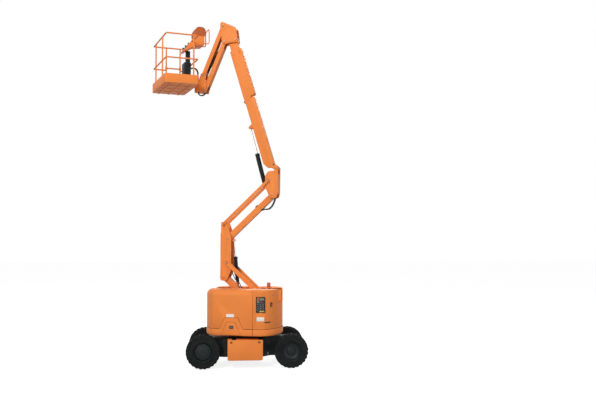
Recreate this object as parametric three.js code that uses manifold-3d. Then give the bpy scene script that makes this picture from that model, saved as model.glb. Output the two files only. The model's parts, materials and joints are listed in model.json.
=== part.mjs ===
// Articulating boom lift: a narrow four-wheel electric chassis, a slewing turret, two parallelogram risers,
// a telescopic primary boom, a levelled jib and a rotating work platform.
// Millimetres, +Z up. +X is the steered end, -Y is the side with the ground controls.
// The booms stand as parked: risers half raised, primary boom steep, jib folded down.
import * as THREE from 'three';
import { mergeVertices } from 'three/addons/utils/BufferGeometryUtils.js';
import Module from 'manifold-3d';

const wasm = await Module();
wasm.setup();

// ---------------------------------------------------------------- driving dimensions

// Gaps between pieces
const SEAT = 0.3;                 // faces that rest on each other
const RUN = 6;                    // pieces that move past each other

// Chassis and wheels
const WHEELBASE = 1880;
const TRACK = 1240;
const TYRE_RADIUS = 365;
const TYRE_WIDTH = 230;
const RIM_RADIUS = 212;
const RIM_WALL = 9;
const WHEEL_DISC_OUT = 62;        // outer face of the wheel disc beyond the wheel's centre plane
const WHEEL_DISC = 14;
const FRAME_LENGTH = 1000;
const FRAME_WIDTH = 760;
const FRAME_BOTTOM = 205;
const FRAME_TOP = 600;
const NOSE_WIDTH = 440;           // narrow part of the frame between the steered wheels
const AXLE_HEIGHT = 110;
const AXLE_DEPTH = 130;
const KINGPIN_TRACK = 1000;
const KINGPIN_RADIUS = 24;
const STEER_ARM = 130;
const EAR = 26;                   // thickness of the knuckle's ears
const TIE_ROD_RADIUS = 14;
const BATTERY_LENGTH = 750;
const BATTERY_CENTRE = -45;
const BATTERY_BOTTOM = 180;
const BATTERY_TOP = 610;
const BATTERY_OUTER = 722;
const BEARING_RADIUS = 360;
const TURRET_FLOOR = 700;

// Turret
const SLEW_REST = -16;            // degrees
const COVER_BOTTOM = 690;
const COVER_TOP = 1670;
const COVER_HALF_WIDTH = 655;
const COVER_NOSE_RADIUS = 880;
const COVER_NOSE = 830;
const COVER_TAIL = 790;
const TAIL_START = 400;           // where the flanks begin to curve round the tail
const COVER_SHOULDER = 130;       // rounding along the top of the doors
const TAIL_SHOULDER = 30;         // and along the top of the tail cover
const COVER_WALL = 22;
const COVER_SPLIT = 300;          // seam between the doors and the tail cover
const GROOVE_HEIGHT = 835;
const SLOT_HALF = 205;            // inner face of the slot walls
const SLOT_WALL = 14;
const UPRIGHT_TOP = 1440;
const COUNTERWEIGHT_TOP = 1180;
const FLOOR_PLATE = 20;
const REAR_WALL = 740;            // front face of the wall behind the uprights
const REAR_WALL_TOP = 1350;
const HINGE_RADIUS = 8;
const PANEL = { x0: 375, x1: 560, z0: 1190, z1: 1520, depth: 160, proud: 24 };

// Risers, given at the pivots in the plane of the booms
const RISER_LENGTH = 1400;
const RISER_REST = 43.3;          // degrees above horizontal, both stages
const LOWER_PIVOT = [522, 945];
const LOWER_LINK = [74, 334];     // upper pivot of the lower stage, from its lower pivot
const STAGE_OFFSET = [5, 530];    // foot of the upper stage, from the upper pivot of the lower stage
const UPPER_LINK = [-88, 320];    // rod pivot of the upper stage, from its arm pivot
const BOOM_OFFSET = [95, 593];    // boom pivot, from the arm pivot at the top of the upper stage
const CENTRE_HALF = 90;           // half width of the arms in the middle
const PLATE_IN = 115;             // side plates of the mast and the link
const PLATE_OUT = 135;
const BAR_IN = 141;               // outer bars and rods
const BAR_OUT = 173;
const ARM_HALF_DEPTH = 62;
const LOWER_BAR_DEPTH = 92;
const ROD_DEPTH = 58;
const PIN_RADIUS = 22;
const BOSS_RADIUS = 66;
const MAST_EDGE = -85;            // front edge of the mast, from its lower pin
const MAST_DEPTH = 250;

// Cylinders, each between its base pin and the eye of its rod
const EYE_HALF = 28;
const EYE_RADIUS = 30;
const EAR_THICKNESS = 16;
const RISER_FOOT = [-1100, 98];   // base pin on the lower arm
const RISER_EYE = [56, -116];     // rod eye on the upper arm
const RISER_BORE = 38;
const RISER_BARREL = RISER_LENGTH - 810;
const RISER_ROD = RISER_LENGTH - 814;
const LIFT_FOOT = [-186, 218];    // base pin on the link
const LIFT_EYE = [-1060, -331];   // rod eye on the boom
const LIFT_BARREL = 735;
const LIFT_ROD = 720;
const JIB_BARREL = 800;           // base pin on the jib's lower pin
const JIB_ROD = 810;              // rod eye on the mount's upper pin

// Primary boom
const BOOM_REST = 73.2;
const BOOM_TIP = [3081, -68];     // tip pivot along and above the pivot line
const BOOM_END = 2850;
const BOOM_HALF = 84;
const BOOM_UPPER_HALF = BOOM_HALF + 4;
const BOOM_TOP = -34;
const BOOM_BOTTOM = -264;
const BOOM_UPPER_TOP = -2;
const BOOM_UPPER_BOTTOM = -274;
const BOOM_STEP = 1700;
const BOOM_WALL = 9;
const FLY_GAP = 8;
const FLY_START = 420;

// Jib and platform
const JIB_REST = -67.4;
const JIB_LENGTH = 1200;
const JIB_FOOT = [-262, -37];     // lower jib pivot, from the boom's tip pivot
const JIB_LINK = [-30, 360];      // upper jib pivot, from the lower one
const JIB_DEPTH = 96;
const HEAD_IN = 96;
const HEAD_OUT = 112;
const JIB_IN = 62;
const JIB_OUT = 86;
const ROTATOR_OFFSET = [-186, 30];
const ROTATOR_RADIUS = 78;
const ROTATOR_HEIGHT = 250;
const SUPPORT_HALF = 58;          // half width of the bracket that carries the platform
const PLATFORM_REST = 33;
const PLATFORM_LENGTH = 1420;
const PLATFORM_WIDTH = 760;
const PLATFORM_NEAR = -150;       // rear face of the platform, from the rotator's axis
const KICK_HEIGHT = 200;
const RAIL_HEIGHT = 1100;
const MID_RAIL_HEIGHT = 556;
const RAIL_RADIUS = 16;
const FLOOR_THICKNESS = 45;
const KICK_WALL = 14;
const CORNER = 60;
const RAIL_RETURN = 60;           // how far the long rails turn round each corner
const RAIL_BEND = 45;
const ENTRY_START = 320;          // first post of the way in, from the outer side
const SLEEVE_RADIUS = 25;
const SLEEVE_HEIGHT = 70;
const CONSOLE_HALF = 190;
const HOOD_HALF = 165;
const CONSOLE_TOP = 1215;
const CONSOLE_FACE = 100;         // outer face of the console
const GUARD_REACH = 215;
const GUARD_TOP = 1400;
const GUARD_RADIUS = 11;

// ---------------------------------------------------------------- materials

const orange = new THREE.MeshStandardMaterial({ color: 0xe8853f, roughness: 0.42, metalness: 0.0 });
const shade = new THREE.MeshStandardMaterial({ color: 0xb9602f, roughness: 0.5, metalness: 0.0 });
const black = new THREE.MeshStandardMaterial({ color: 0x15201f, roughness: 0.55, metalness: 0.2 });
const rubber = new THREE.MeshStandardMaterial({ color: 0x1b1a18, roughness: 0.85, metalness: 0.0 });
const steel = new THREE.MeshStandardMaterial({ color: 0xb8bbbd, roughness: 0.25, metalness: 1.0 });
const amber = new THREE.MeshStandardMaterial({ color: 0xb03a1c, roughness: 0.2, metalness: 0.0 });

// ---------------------------------------------------------------- solids

const radians = THREE.MathUtils.degToRad;
const SIDES = [['right', -1], ['left', 1]];
const HOLE_SIDES = 12;
const WHEEL_SIDES = 24;

function toSolid(geometry) {
  const plain = geometry.clone();
  plain.deleteAttribute('normal');
  plain.deleteAttribute('uv');
  const merged = mergeVertices(plain, 1e-3);
  const vertProperties = new Float32Array(merged.attributes.position.array);
  const triVerts = new Uint32Array(merged.index.array);
  return new wasm.Manifold(new wasm.Mesh({ numProp: 3, vertProperties, triVerts }));
}

function toGeometry(solid) {
  const mesh = solid.getMesh();
  const geometry = new THREE.BufferGeometry();
  geometry.setAttribute('position', new THREE.BufferAttribute(mesh.vertProperties, 3));
  geometry.setIndex(new THREE.BufferAttribute(mesh.triVerts, 1));
  return geometry;
}

function join(geometries) {
  return toGeometry(geometries.map(toSolid).reduce((sum, next) => sum.add(next)));
}

function cut(geometry, tools) {
  return toGeometry(tools.map(toSolid).reduce((rest, tool) => rest.subtract(tool), toSolid(geometry)));
}

function overlap(geometry, tool) {
  return toGeometry(toSolid(geometry).intersect(toSolid(tool)));
}

function box(x0, x1, y0, y1, z0, z1) {
  const geometry = new THREE.BoxGeometry(Math.abs(x1 - x0), Math.abs(y1 - y0), Math.abs(z1 - z0));
  return geometry.translate((x0 + x1) / 2, (y0 + y1) / 2, (z0 + z1) / 2);
}

// Outline through points [x, y] or [x, y, corner radius]
function outline(points) {
  const shape = new THREE.Shape();
  points.forEach(([x, y, radius = 0], i) => {
    const corner = new THREE.Vector2(x, y);
    const before = new THREE.Vector2(...points.at(i - 1)).sub(corner).setLength(radius).add(corner);
    const after = new THREE.Vector2(...points[(i + 1) % points.length]).sub(corner);
    after.setLength(radius).add(corner);
    if (i === 0) shape.moveTo(before.x, before.y);
    else shape.lineTo(before.x, before.y);
    if (radius > 0) shape.quadraticCurveTo(x, y, after.x, after.y);
  });
  shape.closePath();
  return shape;
}

function arcPoints(radius, start, end, steps) {
  return Array.from({ length: steps + 1 }, (_, i) => {
    const angle = start + ((end - start) * i) / Math.max(steps, 1);
    return new THREE.Vector2(radius * Math.cos(angle), radius * Math.sin(angle));
  });
}

// Outline around two circles, [x, y, radius] each
function tangentOutline([x0, y0, r0], [x1, y1, r1]) {
  const angle = Math.atan2(y1 - y0, x1 - x0);
  const lean = Math.acos((r0 - r1) / Math.hypot(x1 - x0, y1 - y0));
  const shape = new THREE.Shape();
  shape.absarc(x1, y1, r1, angle - lean, angle + lean, false);
  shape.absarc(x0, y0, r0, angle + lean, angle - lean + 2 * Math.PI, false);
  shape.closePath();
  return shape;
}

function withHoles(shape, holes) {
  holes.forEach(([x, y, radius]) => {
    const rim = arcPoints(radius, 2 * Math.PI, 0, HOLE_SIDES).slice(1);
    shape.holes.push(new THREE.Path(rim.map((p) => p.add(new THREE.Vector2(x, y)))));
  });
  return shape;
}

// Plate with its outline in X and Z, between two Y values
function plateY(shape, y0, y1, curveSegments = 4) {
  const depth = y1 - y0;
  const geometry = new THREE.ExtrudeGeometry(shape, { depth, bevelEnabled: false, curveSegments });
  return geometry.rotateX(Math.PI / 2).translate(0, y1, 0);
}

// Plate with its outline in X and Y, between two Z values
function plateZ(shape, z0, z1, curveSegments = 4) {
  const geometry = new THREE.ExtrudeGeometry(shape, { depth: z1 - z0, bevelEnabled: false, curveSegments });
  return geometry.translate(0, 0, z0);
}

// The same plate on both sides of the middle plane
function bothSides(shape, inner, outer, segments = 4) {
  return [plateY(shape, inner, outer, segments), plateY(shape, -outer, -inner, segments)];
}

function cylinder(radius, from, to, sides = 16, radiusEnd = radius) {
  const start = new THREE.Vector3(...from);
  const axis = new THREE.Vector3(...to).sub(start);
  const geometry = new THREE.CylinderGeometry(radiusEnd, radius, axis.length(), sides);
  geometry.translate(0, axis.length() / 2, 0);
  const up = new THREE.Vector3(0, 1, 0);
  const turn = new THREE.Quaternion().setFromUnitVectors(up, axis.clone().normalize());
  return geometry.applyQuaternion(turn).translate(start.x, start.y, start.z);
}

// Cylinder along Y at x, z
function pinY(radius, y0, y1, [x, z], sides = HOLE_SIDES) {
  return cylinder(radius, [x, y0, z], [x, y1, z], sides);
}

// Cylinder along X at y, z
function pinX(radius, x0, x1, [y, z]) {
  return cylinder(radius, [x0, y, z], [x1, y, z], HOLE_SIDES);
}

// Round tube along a polyline of points, its corners turned with a bend
function bentTube(points, bend, radius, sides = 8) {
  const corners = points.map((p) => new THREE.Vector3(...p));
  const section = new THREE.Shape(arcPoints(radius, 0, 2 * Math.PI, sides).slice(1));
  const pieces = [];
  let last = corners[0];
  for (let i = 1; i < corners.length - 1; i += 1) {
    const before = corners[i - 1].clone().sub(corners[i]).setLength(bend).add(corners[i]);
    const after = corners[i + 1].clone().sub(corners[i]).setLength(bend).add(corners[i]);
    const extrudePath = new THREE.QuadraticBezierCurve3(before, corners[i], after);
    pieces.push(cylinder(radius, last.toArray(), before.clone().lerp(corners[i], 0.02).toArray(), sides));
    pieces.push(new THREE.ExtrudeGeometry(section, { steps: 4, extrudePath }));
    last = after.clone().lerp(corners[i], 0.02);
  }
  pieces.push(cylinder(radius, last.toArray(), corners.at(-1).toArray(), sides));
  return join(pieces);
}

function add(parent, name, geometry, material) {
  const mesh = new THREE.Mesh(geometry, material);
  mesh.name = name;
  parent.add(mesh);
  return mesh;
}

function pivot(parent, name, [x, y, z], { turnY = 0, turnZ = 0 } = {}) {
  const group = new THREE.Group();
  group.name = name;
  group.position.set(x, y, z);
  group.rotation.set(0, radians(turnY), radians(turnZ));
  parent.add(group);
  return group;
}

const plus = ([x0, z0], [x1, z1]) => [x0 + x1, z0 + z1];
const bore = (radius) => (radius + SEAT) / Math.cos(Math.PI / HOLE_SIDES);

const lift = new THREE.Group();
lift.name = 'lift';

// ---------------------------------------------------------------- chassis

const axleX = WHEELBASE / 2;
const axleTop = TYRE_RADIUS + AXLE_HEIGHT / 2;
const axleBottom = TYRE_RADIUS - AXLE_HEIGHT / 2;
const kingpinY = KINGPIN_TRACK / 2;
const spindleEnd = TRACK / 2 + WHEEL_DISC_OUT - WHEEL_DISC - SEAT;

function chassisFrame() {
  const half = FRAME_WIDTH / 2;
  const nose = NOSE_WIDTH / 2;
  const noseX = axleX + AXLE_DEPTH / 2 + 40;
  const rear = -axleX + AXLE_DEPTH / 2 + SEAT;
  const plan = outline([
    [-FRAME_LENGTH / 2, -half, 40], [FRAME_LENGTH / 2 - 130, -half, 40], [FRAME_LENGTH / 2, -nose],
    [noseX, -nose, 30], [noseX, nose, 30], [FRAME_LENGTH / 2, nose],
    [FRAME_LENGTH / 2 - 130, half, 40], [-FRAME_LENGTH / 2, half, 40], [rear, nose], [rear, -nose],
  ]);
  const body = plateZ(plan, FRAME_BOTTOM, FRAME_TOP);
  const step = axleX - AXLE_DEPTH / 2 - SEAT;
  const axleSpace = box(step, noseX + 1, -half, half, FRAME_BOTTOM - 1, axleTop + SEAT);
  const bays = SIDES.map(([, side]) => box(
    BATTERY_CENTRE - BATTERY_LENGTH / 2 + 22, BATTERY_CENTRE + BATTERY_LENGTH / 2 - 22,
    side * (nose + 20), side * (half + 1), FRAME_BOTTOM - 1, FRAME_TOP - 30));
  return cut(body, [axleSpace, ...bays]);
}

function driveAxle() {
  const beam = box(-axleX - AXLE_DEPTH / 2, -axleX + AXLE_DEPTH / 2, -430, 430, axleBottom, axleTop);
  const hubs = SIDES.flatMap(([, side]) => [
    cylinder(118, [-axleX, side * 420, TYRE_RADIUS], [-axleX, side * 560, TYRE_RADIUS], 28),
    cylinder(92, [-axleX, side * 560, TYRE_RADIUS], [-axleX, side * spindleEnd, TYRE_RADIUS], 28),
  ]);
  return join([beam, ...hubs]);
}

function steerAxle() {
  const end = kingpinY - KINGPIN_RADIUS * 2 - 14;
  const beam = box(axleX - AXLE_DEPTH / 2, axleX + AXLE_DEPTH / 2, -end, end, axleBottom, axleTop);
  const eyes = SIDES.map(([, side]) => cylinder(
    KINGPIN_RADIUS * 2, [axleX, side * kingpinY, axleBottom], [axleX, side * kingpinY, axleTop], 24));
  const necks = SIDES.map(([, side]) => box(
    axleX - KINGPIN_RADIUS * 2, axleX + KINGPIN_RADIUS * 2,
    side * (end - 1), side * kingpinY, axleBottom, axleTop));
  const bores = SIDES.map(([, side]) => cylinder(
    bore(KINGPIN_RADIUS), [axleX, side * kingpinY, axleBottom - 1],
    [axleX, side * kingpinY, axleTop + 1], HOLE_SIDES));
  return cut(join([beam, ...eyes, ...necks]), bores);
}

// Knuckle around its kingpin's centre at axle height
function steeringKnuckle(side) {
  const reach = side * (spindleEnd - kingpinY);
  const ear = axleTop - TYRE_RADIUS + SEAT;
  const foot = side * (KINGPIN_RADIUS * 2 + RUN);
  const armOutline = tangentOutline([0, 0, 46], [STEER_ARM, 0, 26]);
  const lowerEar = plateZ(armOutline, -ear - EAR, -ear);
  const upperEar = cylinder(46, [0, 0, ear], [0, 0, ear + EAR], 24);
  const bridge = [-ear - EAR, ear].map((z) => box(-46, 46, 0, foot + side * 20, z, z + EAR));
  return join([
    lowerEar, upperEar, ...bridge,
    box(-46, 46, foot, foot + side * 20, -ear - EAR, ear + EAR),
    cylinder(KINGPIN_RADIUS, [0, 0, -ear - 5], [0, 0, ear + 5], HOLE_SIDES),
    cylinder(54, [0, foot + side * 10, 0], [0, reach, 0], 28),
    cylinder(TIE_ROD_RADIUS, [STEER_ARM, 0, -ear - EAR - 40], [STEER_ARM, 0, -ear - 5], HOLE_SIDES),
  ]);
}

function tieRod() {
  const ends = [0, -KINGPIN_TRACK];
  const bottom = -TIE_ROD_RADIUS * 2 - 6;
  const eyes = ends.map((y) => cylinder(24, [0, y, bottom], [0, y, -SEAT], 20));
  const bar = cylinder(TIE_ROD_RADIUS, [0, -12, bottom / 2], [0, -KINGPIN_TRACK + 12, bottom / 2], 12);
  const bores = ends.map((y) => cylinder(
    bore(TIE_ROD_RADIUS), [0, y, bottom - 1], [0, y, 1], HOLE_SIDES));
  return cut(join([...eyes, bar]), bores);
}

function slewBearing() {
  const ring = cylinder(BEARING_RADIUS, [0, 0, FRAME_TOP + SEAT], [0, 0, TURRET_FLOOR - SEAT], 48);
  const hollow = cylinder(BEARING_RADIUS - 90, [0, 0, FRAME_TOP - 1], [0, 0, TURRET_FLOOR + 1], 32);
  return cut(ring, [hollow]);
}

// Tray cover in front of the battery pack, closed below and at its ends
function batteryCover(side) {
  const inner = FRAME_WIDTH / 2 + SEAT;
  const x0 = BATTERY_CENTRE - BATTERY_LENGTH / 2;
  const x1 = BATTERY_CENTRE + BATTERY_LENGTH / 2;
  const face = outline([
    [x0, BATTERY_BOTTOM, 42], [x1, BATTERY_BOTTOM, 42], [x1, BATTERY_TOP, 14], [x0, BATTERY_TOP, 14]]);
  const [y0, y1] = [side * inner, side * BATTERY_OUTER].sort((a, b) => a - b);
  const hollow = box(x0 + 8, x1 - 8, side * (inner - 1), side * (BATTERY_OUTER - 8), BATTERY_BOTTOM + 8,
    BATTERY_TOP - 8);
  return cut(plateY(face, y0, y1), [hollow]);
}

function batteryPack(side) {
  const inner = FRAME_WIDTH / 2 + SEAT * 2;
  return box(BATTERY_CENTRE - BATTERY_LENGTH / 2 + 40, BATTERY_CENTRE + BATTERY_LENGTH / 2 - 40,
    side * inner, side * (BATTERY_OUTER - 20), BATTERY_BOTTOM + 8 + SEAT, BATTERY_TOP - 90);
}

function tyre() {
  const half = TYRE_WIDTH / 2;
  const bead = RIM_RADIUS + SEAT;
  const wall = TYRE_RADIUS - 40;
  const profile = [
    [bead, -half + 22], [bead + 40, -half + 4], [wall - 50, -half], [wall, -half + 10],
    [TYRE_RADIUS, -half + 50], [TYRE_RADIUS, half - 50], [wall, half - 10], [wall - 50, half],
    [bead + 40, half - 4], [bead, half - 22],
  ].map(([r, y]) => new THREE.Vector2(r, y));
  return new THREE.LatheGeometry([...profile, profile[0]], WHEEL_SIDES);
}

// Rim with its disc dished towards the outer side, +Y
function rim(hub) {
  const half = TYRE_WIDTH / 2 - 24;
  const inner = RIM_RADIUS - RIM_WALL;
  const out = WHEEL_DISC_OUT;
  const profile = [
    [0, out - WHEEL_DISC], [inner - 30, out - WHEEL_DISC], [inner - 6, -half], [RIM_RADIUS, -half],
    [RIM_RADIUS, half], [inner, half], [inner - 34, out], [hub, out], [hub, out + 20], [0, out + 20],
  ].map(([r, y]) => new THREE.Vector2(r, y));
  return new THREE.LatheGeometry([...profile, profile[0]], WHEEL_SIDES);
}

function addWheel(parent, prefix, side, hub) {
  const wheel = pivot(parent, `pivot_${prefix}`, [0, 0, 0], { turnZ: side > 0 ? 0 : 180 });
  add(wheel, `${prefix}_tyre`, tyre(), rubber);
  add(wheel, `${prefix}_rim`, rim(hub), black);
  return wheel;
}

add(lift, 'chassis_frame', chassisFrame(), black);
add(lift, 'drive_axle', driveAxle(), black);
add(lift, 'steer_axle', steerAxle(), black);
add(lift, 'slew_bearing', slewBearing(), black);
for (const [name, side] of SIDES) {
  add(lift, `battery_cover_${name}`, batteryCover(side), orange);
  add(lift, `battery_pack_${name}`, batteryPack(side), black);

  const drive = pivot(lift, `hub_drive_${name}`, [-axleX, side * TRACK / 2, TYRE_RADIUS]);
  addWheel(drive, `drive_wheel_${name}`, side, 120);

  const knuckle = pivot(lift, `pivot_knuckle_${name}`, [axleX, side * kingpinY, TYRE_RADIUS]);
  add(knuckle, `steering_knuckle_${name}`, steeringKnuckle(side), black);
  const hub = pivot(knuckle, `hub_steer_${name}`, [0, side * (TRACK / 2 - kingpinY), 0]);
  addWheel(hub, `steer_wheel_${name}`, side, 60);

  if (side > 0) {
    const pinZ = -AXLE_HEIGHT / 2 - SEAT - EAR;
    const rod = pivot(knuckle, 'pivot_tie_rod', [STEER_ARM, 0, pinZ]);
    add(rod, 'tie_rod', tieRod(), black);
  }
}

// ---------------------------------------------------------------- turret

const turret = pivot(lift, 'pivot_turret', [0, 0, 0], { turnZ: SLEW_REST });
const slotEdge = SLOT_HALF + SLOT_WALL + RUN;
const hingeY = slotEdge + 2;
const hingeZ = COVER_TOP - COVER_WALL - HINGE_RADIUS;

// Plan of the covers: a flat nose, arcs about the slew axis, straight flanks and an elliptical tail
function coverPlan() {
  const noseY = Math.sqrt(COVER_NOSE_RADIUS ** 2 - COVER_NOSE ** 2);
  const nose = Math.PI - Math.asin(COVER_HALF_WIDTH / COVER_NOSE_RADIUS);
  const flat = Math.PI - Math.atan2(noseY, COVER_NOSE);
  const tail = new THREE.EllipseCurve(
    TAIL_START, 0, COVER_TAIL - TAIL_START, COVER_HALF_WIDTH, -Math.PI / 2, Math.PI / 2);
  return new THREE.Shape([
    ...arcPoints(COVER_NOSE_RADIUS, -flat, -nose, 5),
    ...tail.getPoints(18),
    ...arcPoints(COVER_NOSE_RADIUS, nose, flat, 5),
  ]);
}

function flankAt(x) {
  return COVER_HALF_WIDTH * Math.sqrt(1 - (Math.max(x - TAIL_START, 0) / (COVER_TAIL - TAIL_START)) ** 2);
}

// Whole volume of the covers, rounded along the top and shrunk by an inset
function coverVolume(inset, shoulder) {
  const depth = COVER_TOP - COVER_BOTTOM;
  const geometry = new THREE.ExtrudeGeometry(coverPlan(), {
    depth, bevelThickness: shoulder, bevelSize: shoulder, bevelOffset: -shoulder - inset, bevelSegments: 5,
  });
  return geometry.translate(0, 0, COVER_TOP - shoulder - depth - inset);
}

function coverShell(shoulder) {
  return cut(coverVolume(0, shoulder), [coverVolume(COVER_WALL, shoulder)]);
}

function turretFrame() {
  const inFront = box(-2000, COVER_SPLIT, -2000, 2000, TURRET_FLOOR, TURRET_FLOOR + FLOOR_PLATE);
  const behind = box(COVER_SPLIT - 1, 2000, -2000, 2000, TURRET_FLOOR, TURRET_FLOOR + FLOOR_PLATE);
  const floor = [
    overlap(coverVolume(COVER_WALL + RUN, COVER_SHOULDER), inFront),
    overlap(coverVolume(COVER_WALL + SEAT, TAIL_SHOULDER), behind),
  ];
  const wallOutline = outline([
    [-COVER_NOSE + COVER_WALL + RUN, TURRET_FLOOR], [REAR_WALL, TURRET_FLOOR], [REAR_WALL, hingeZ - 12],
    [-COVER_NOSE + COVER_WALL + 60, hingeZ - 12], [-COVER_NOSE + COVER_WALL + RUN, hingeZ - 80]]);
  const walls = bothSides(wallOutline, SLOT_HALF, SLOT_HALF + SLOT_WALL);
  const link = plus(LOWER_PIVOT, LOWER_LINK);
  const uprightOutline = outline([
    [LOWER_PIVOT[0] - 150, TURRET_FLOOR], [REAR_WALL, TURRET_FLOOR], [REAR_WALL, REAR_WALL_TOP, 30],
    [link[0] + 60, UPRIGHT_TOP - 60, 30], [link[0] - 60, UPRIGHT_TOP - 60, 30],
    [LOWER_PIVOT[0] - 130, 1000, 40]]);
  const uprights = bothSides(uprightOutline, BAR_OUT + RUN, SLOT_HALF + 1);
  const pins = [LOWER_PIVOT, link].map((at) => pinY(PIN_RADIUS, -SLOT_HALF - 1, SLOT_HALF + 1, at));
  const slotOut = SLOT_HALF + SLOT_WALL;
  const rear = box(REAR_WALL - 1, REAR_WALL + 12, -slotOut, slotOut, TURRET_FLOOR, REAR_WALL_TOP);
  const hinges = SIDES.flatMap(([, side]) => [
    pinX(HINGE_RADIUS - SEAT, -560, COVER_SPLIT - 60, [side * hingeY, hingeZ]),
    ...[-540, -150, COVER_SPLIT - 100].flatMap((x) => [
      box(x, x + 40, side * (slotOut - 1), side * hingeY, hingeZ - HINGE_RADIUS, hingeZ - 2),
      box(x, x + 40, side * (SLOT_HALF + 2), side * slotOut, hingeZ - 20, hingeZ - 2),
    ]),
  ]);
  const well = BAR_OUT + RUN;
  const mastWell = box(-2000, -560, -well, well, TURRET_FLOOR - 1, TURRET_FLOOR + FLOOR_PLATE + 1);
  return cut(join([...floor, ...walls, ...uprights, ...pins, rear, ...hinges]), [mastWell]);
}

// Raised field around the latch, low on each door
function latchField(side) {
  const face = side * (COVER_HALF_WIDTH - 1);
  const out = side * (COVER_HALF_WIDTH + 9);
  const [y0, y1] = [face, out].sort((a, b) => a - b);
  const field = outline([
    [-385, COVER_BOTTOM + 30], [20, COVER_BOTTOM + 30], [-80, 976, 25], [-275, 976, 25]]);
  return plateY(field, y0, y1);
}

// One gull-wing door: half of the top, the flank and half of the nose
function turretDoor(side, shell) {
  const region = box(-2000, COVER_SPLIT - RUN / 2, side * slotEdge, side * 2000, COVER_BOTTOM, 2000);
  const grooveFloor = side * (COVER_HALF_WIDTH - 4);
  const groove = box(-2000, 2000, grooveFloor, side * 2000, GROOVE_HEIGHT - 4, GROOVE_HEIGHT + 4);
  return join([cut(overlap(shell, region), [groove]), latchField(side)]);
}

// Control box in the right flank, its face along the chord between two points of the plan
function panelBox(gap) {
  const start = [PANEL.x0, -flankAt(PANEL.x0)];
  const [run, rise] = [PANEL.x1 - start[0], -flankAt(PANEL.x1) - start[1]];
  const geometry = box(
    -gap, Math.hypot(run, rise) + gap, -PANEL.proud, PANEL.depth + gap, PANEL.z0 - gap, PANEL.z1 + gap);
  return geometry.rotateZ(Math.atan2(rise, run)).translate(...start, 0);
}

function tailCover(shell) {
  const region = box(COVER_SPLIT + RUN / 2, 2000, -2000, 2000, COVER_BOTTOM, 2000);
  const slot = box(0, REAR_WALL + 12 + SEAT, -slotEdge, slotEdge, COVER_BOTTOM - 1, 2001);
  const notch = box(0, 2000, -slotEdge, slotEdge, REAR_WALL_TOP + 10, 2001);
  return cut(overlap(shell, region), [slot, notch, panelBox(SEAT)]);
}

function counterweight(side) {
  const inner = side * (slotEdge + SEAT);
  const outer = side * (COVER_HALF_WIDTH - 60);
  const foot = TURRET_FLOOR + FLOOR_PLATE + SEAT;
  const block = box(COVER_SPLIT + 40, 700, inner, outer, foot, COUNTERWEIGHT_TOP);
  return overlap(block, coverVolume(COVER_WALL + 10, TAIL_SHOULDER));
}

function beacon() {
  const profile = [[0, 0], [44, 0], [44, 22], [38, 28], [36, 88], [28, 106], [0, 112]]
    .map(([r, z]) => new THREE.Vector2(r, z));
  const geometry = new THREE.LatheGeometry([...profile, profile[0]], 20);
  return geometry.rotateX(Math.PI / 2).translate(430, 290, COVER_TOP + SEAT);
}

add(turret, 'turret_frame', turretFrame(), black);
add(turret, 'tail_cover', tailCover(coverShell(TAIL_SHOULDER)), orange);
add(turret, 'ground_controls', panelBox(0), black);
add(turret, 'beacon', beacon(), amber);
const doorShell = coverShell(COVER_SHOULDER);
for (const [name, side] of SIDES) {
  add(turret, `counterweight_${name}`, counterweight(side), black);
  const door = pivot(turret, `pivot_turret_door_${name}`, [0, side * hingeY, hingeZ]);
  add(door, `turret_door_${name}`, turretDoor(side, doorShell).translate(0, -side * hingeY, -hingeZ), orange);
}

// ---------------------------------------------------------------- risers

const earIn = EYE_HALF + RUN;
const earOut = earIn + EAR_THICKNESS;
const pinHalf = PLATE_OUT + 5;
const stubOut = BAR_OUT + 5;
const upperFoot = plus(LOWER_LINK, STAGE_OFFSET);
const mastTop = plus(upperFoot, UPPER_LINK);

// Pair of ears carrying a cylinder's eye, from a point inside the arm out to the pin
function ears(root, at, radius, inner = earIn, outer = earOut) {
  const shape = tangentOutline([...root, radius + 14], [...at, radius]);
  return bothSides(withHoles(shape, [[...at, bore(PIN_RADIUS / 2)]]), inner, outer);
}

// Box arm with round ends, lying along X from the origin
function boxArm(length, halfDepth, half, bossRadius, bossHalf) {
  const [x0, x1] = [0, length].sort((a, b) => a - b);
  return [
    box(x0, x1, -half, half, -halfDepth, halfDepth),
    pinY(bossRadius, -bossHalf, bossHalf, [0, 0], 18),
    pinY(bossRadius, -bossHalf, bossHalf, [length, 0], 18),
  ];
}

function armBores(length, half) {
  return [[0, 0], [length, 0]].map((at) => pinY(bore(PIN_RADIUS), -half - 1, half + 1, at));
}

function lowerArm() {
  const root = [RISER_FOOT[0], ARM_HALF_DEPTH - 30];
  const footOut = RISER_BORE + RUN + EAR_THICKNESS;
  const body = join([
    ...boxArm(-RISER_LENGTH, ARM_HALF_DEPTH, CENTRE_HALF - 8, BOSS_RADIUS, CENTRE_HALF),
    ...ears(root, RISER_FOOT, EYE_RADIUS, RISER_BORE + RUN, footOut),
    pinY(PIN_RADIUS / 2, -footOut - 1, footOut + 1, RISER_FOOT),
    ...[-1, 1].map((side) => pinY(PIN_RADIUS, side * (footOut - 1), side * (footOut + 5), RISER_FOOT)),
  ]);
  return cut(body, armBores(-RISER_LENGTH, CENTRE_HALF));
}

function upperArm() {
  const body = join([
    ...boxArm(RISER_LENGTH, ARM_HALF_DEPTH, CENTRE_HALF - 8, BOSS_RADIUS, CENTRE_HALF),
    ...ears([20, -30], RISER_EYE, EYE_RADIUS),
  ]);
  return cut(body, armBores(RISER_LENGTH, CENTRE_HALF));
}

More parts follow.
